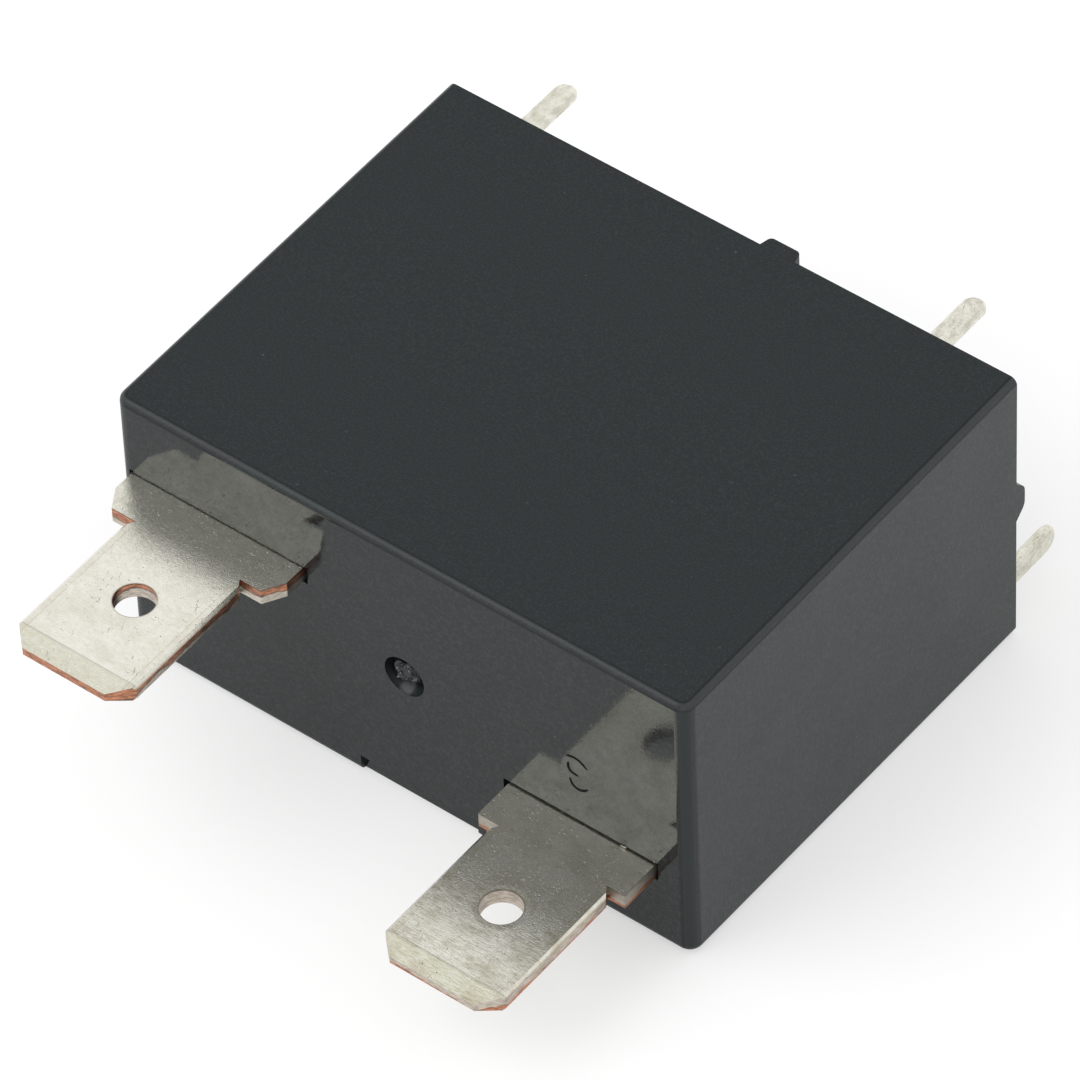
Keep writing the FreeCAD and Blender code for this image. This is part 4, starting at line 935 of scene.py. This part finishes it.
def camera_axes(stage):
    """The camera's right, up and back, from its azimuth, elevation and roll."""
    back = Vector((
        math.sin(stage.azimuth) * math.cos(stage.elevation),
        -math.cos(stage.azimuth) * math.cos(stage.elevation),
        math.sin(stage.elevation),
    ))
    level_right = Vector((0, 0, 1)).cross(back).normalized()
    level_up = back.cross(level_right)
    right = level_right * math.cos(stage.roll) + level_up * math.sin(stage.roll)
    return right, back.cross(right), back


class RELAY_OT_case(bpy.types.Operator):
    """Finish the moulded case, the base and the poured resin."""

    bl_idname = "relay.case"
    bl_label = "Case"

    def execute(self, context):
        look = context.scene.relay_case
        dress(moulded_black(look), "case_cover")
        dress(inner_black(look), "base")
        dress(poured_resin(look), "sealing_resin")
        return {"FINISHED"}


class RELAY_OT_terminals(bpy.types.Operator):
    """Finish the two tabs with their terminals, and the coil pins."""

    bl_idname = "relay.terminals"
    bl_label = "Terminals"

    def execute(self, context):
        look = context.scene.relay_tabs
        dress(tinned_copper(look, "terminal_left", film=0.3, bare=(0.45, 2.0, 0.72)), "terminal_left")
        dress(tinned_copper(look, "terminal_right", film=1.3, bare=(-1.0, 0.3, 2.0)), "terminal_right")
        dress(dipped_tin(look), "coil_pin_high", "coil_pin_low")
        return {"FINISHED"}


class RELAY_OT_coil(bpy.types.Operator):
    """Finish the spool, winding, tape and leads, and wrap the leads round their pins."""

    bl_idname = "relay.coil"
    bl_label = "Coil"

    def execute(self, context):
        look = context.scene.relay_inside
        wire_finish = lacquered_wire(look)
        dress(moulded_plastic("spool_plastic", look.spool), "bobbin")
        dress(wound_wire(look), "coil_winding")
        dress(wrapped_tape(look), "coil_tape")
        dress(wire_finish, "coil_lead_high", "coil_lead_low")
        for level in ("high", "low"):
            low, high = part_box("coil_pin_" + level)
            lead_low, lead_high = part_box("coil_lead_" + level)
            wire = lead_high.y - lead_low.y
            name = "lead_wrap_" + level
            mesh = wrapped_lead_mesh(name, low, high, low.y + wire, wire)
            add_piece(name, mesh, wire_finish, "housing")
        return {"FINISHED"}


class RELAY_OT_magnet(bpy.types.Operator):
    """Finish the iron of the magnet and its return spring."""

    bl_idname = "relay.magnet"
    bl_label = "Magnet"

    def execute(self, context):
        look = context.scene.relay_inside
        turned = worked_metal("turned_iron", look.iron, rough=0.34, lay=(1.0, 0.15, 0.15), mark=0.5)
        bent = worked_metal("bent_iron", look.iron, rough=0.36, lay=(0.12, 1.0, 1.0), mark=0.5)
        steel = worked_metal("leaf_steel", look.steel, rough=0.24, lay=(1.0, 0.1, 1.0), mark=0.3)
        dress(turned, "core")
        dress(bent, "yoke", "armature")
        dress(steel, "return_spring")
        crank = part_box("yoke")[1].x - look.spring_bend
        add_leaf("bending_spring", "return_spring", steel,
                 crank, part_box("armature")[1].x)
        return {"FINISHED"}


class RELAY_OT_switch(bpy.types.Operator):
    """Finish the lever, the blade, its rivets and both contacts."""

    bl_idname = "relay.switch"
    bl_label = "Switch"

    def execute(self, context):
        look = context.scene.relay_inside
        dress(moulded_plastic("lever_plastic", look.lever, 0.12), "lever")
        bronze = worked_metal("rolled_bronze", look.bronze, rough=0.26, lay=(0.1, 1.0, 1.0), mark=0.4)
        brass = worked_metal("headed_brass", look.brass, rough=0.24, lay=(1.0, 1.0, 0.3), mark=0.3)
        silver = worked_metal("contact_silver", look.silver, rough=0.2, lay=(1.0, 1.0, 0.4), mark=0.35)
        dress(bronze, "moving_blade")
        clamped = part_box("blade_rivet_1")[0].x - look.blade_free
        add_leaf("flexing_blade", "moving_blade", bronze,
                 clamped, clamped - look.blade_bend)
        dress(brass, "blade_rivet_1", "blade_rivet_2")
        dress(silver, "moving_contact", "fixed_contact")
        return {"FINISHED"}


class RELAY_OT_marks(bpy.types.Operator):
    """Add the engraved numeral, the torn nib in its vent, and the resin's rise at pins and walls."""

    bl_idname = "relay.marks"
    bl_label = "Marks"

    def execute(self, context):
        case = context.scene.relay_case
        look = context.scene.relay_marks
        add_piece("numeral_three", numeral_mesh(look), groove_shade(case), "housing")
        add_piece("torn_nib", torn_nib_mesh(look), torn_black(case), "housing")
        add_piece("vent_lip", vent_lip_mesh(look), vent_black(case), "housing")
        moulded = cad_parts["case_cover"].data.materials[0]
        slots = (("left", 0.8, (0.13, 0.12)), ("right", 0.12, (0.0, 0.22)))
        for side, closed, ends in slots:
            mesh = slot_flash_mesh(side, closed, ends)
            add_piece("slot_flash_" + side, mesh, moulded, "housing")
        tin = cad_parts["terminal_right"].data.materials[0]
        add_piece("tin_slivers", tin_slivers_mesh(), tin, "housing")
        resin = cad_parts["sealing_resin"].data.materials[0]
        pin_tip = 0.6 * MM
        rises = [(node, *span_near(node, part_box(node)[1].y, pin_tip), False)
                 for node in ("terminal_left", "terminal_right", "coil_pin_high", "coil_pin_low")]
        for place, low, high, inward in (*rises, ("walls", seal_low, seal_high, True)):
            name = "resin_rise_" + place
            add_piece(name, resin_rise_mesh(name, low, high, look.resin_rise, inward), resin, "housing")
        return {"FINISHED"}


class RELAY_OT_stage(bpy.types.Operator):
    """Make the floor, the soft light and the camera."""

    bl_idname = "relay.stage"
    bl_label = "Stage"

    def execute(self, context):
        stage = context.scene.relay_stage
        self.make_floor(stage)
        self.make_light(context, stage)
        self.make_camera(context, stage)
        return {"FINISHED"}

    def make_floor(self, stage):
        """A pale floor just below the object, that gives light of its own."""
        finish = Finish("pale_floor")
        tone = finish.noise(60.0, detail=2)
        colour = finish.mix(tone * 0.3, stage.floor, toned(stage.floor, 0.97))
        glow = {"Emission Color": (1.0, 1.0, 1.0, 1.0), "Emission Strength": stage.glow}
        material = finish.plain(colour, 0.8, [], glow)
        mesh = bpy.data.meshes.new("floor")
        gap, reach = 0.02 * MM, 1.5
        form = bmesh.new()
        bmesh.ops.create_grid(form, x_segments=1, y_segments=1, size=reach)
        form.to_mesh(mesh)
        form.free()
        mesh.materials.append(material)
        floor = placed("floor", mesh)
        floor.location.z = cad_box[0][2] - gap

    def make_light(self, context, stage):
        """An even studio and one soft box that points at the object."""
        world = bpy.data.worlds.new("studio")
        world.use_nodes = True
        ground = world.node_tree.nodes["Background"].inputs
        ground["Color"].default_value = (1, 1, 1, 1)
        ground["Strength"].default_value = stage.ambient
        context.scene.world = world
        context.scene.view_settings.view_transform = "Standard"
        lamp = bpy.data.lights.new("key", "AREA")
        lamp.size = stage.key_size
        lamp.energy = stage.key
        light = placed("key", lamp)
        light.location = stage.key_place
        light.rotation_euler = Vector(stage.key_place).to_track_quat("Z", "Y").to_euler()

    def make_camera(self, context, stage):
        """The camera, turned to its aim."""
        lens = bpy.data.cameras.new("camera")
        lens.lens = stage.lens
        lens.clip_start = 0.01
        camera = placed("camera", lens)
        right, up, back = camera_axes(stage)
        turned = Matrix((right, up, back)).transposed().to_4x4()
        camera.matrix_world = Matrix.Translation(Vector(stage.aim) + back * stage.distance) @ turned
        context.scene.camera = camera


class RELAY_PT_panel(bpy.types.Panel):
    """Looks of the relay, in the sidebar."""

    bl_idname = "RELAY_PT_panel"
    bl_label = "Relay"
    bl_space_type = "VIEW_3D"
    bl_region_type = "UI"
    bl_category = "Relay"

    def draw(self, context):
        for operator in operators:
            self.layout.operator(operator.bl_idname)


looks = {
    "relay_case": CaseLook,
    "relay_tabs": TabLook,
    "relay_inside": InsideLook,
    "relay_marks": MarkLook,
    "relay_stage": StageLook,
}
operators = (
    RELAY_OT_case, RELAY_OT_terminals, RELAY_OT_coil, RELAY_OT_magnet, RELAY_OT_switch, RELAY_OT_marks,
    RELAY_OT_stage,
)


def register():
    """Register the settings, the operators and the panel."""
    for group in looks.values():
        bpy.utils.register_class(group)
    for name, group in looks.items():
        setattr(bpy.types.Scene, name, PointerProperty(type=group))
    for operator in operators:
        bpy.utils.register_class(operator)
    bpy.utils.register_class(RELAY_PT_panel)


def unregister():
    """Take all of it out again."""
    bpy.utils.unregister_class(RELAY_PT_panel)
    for operator in reversed(operators):
        bpy.utils.unregister_class(operator)
    for name, group in looks.items():
        delattr(bpy.types.Scene, name)
        bpy.utils.unregister_class(group)


def main():
    """Dress the relay, one operator after another."""
    register()
    for operator in operators:
        step = getattr(bpy.ops.relay, operator.bl_idname.split(".")[1])
        step()


if __name__ == "__main__":
    main()
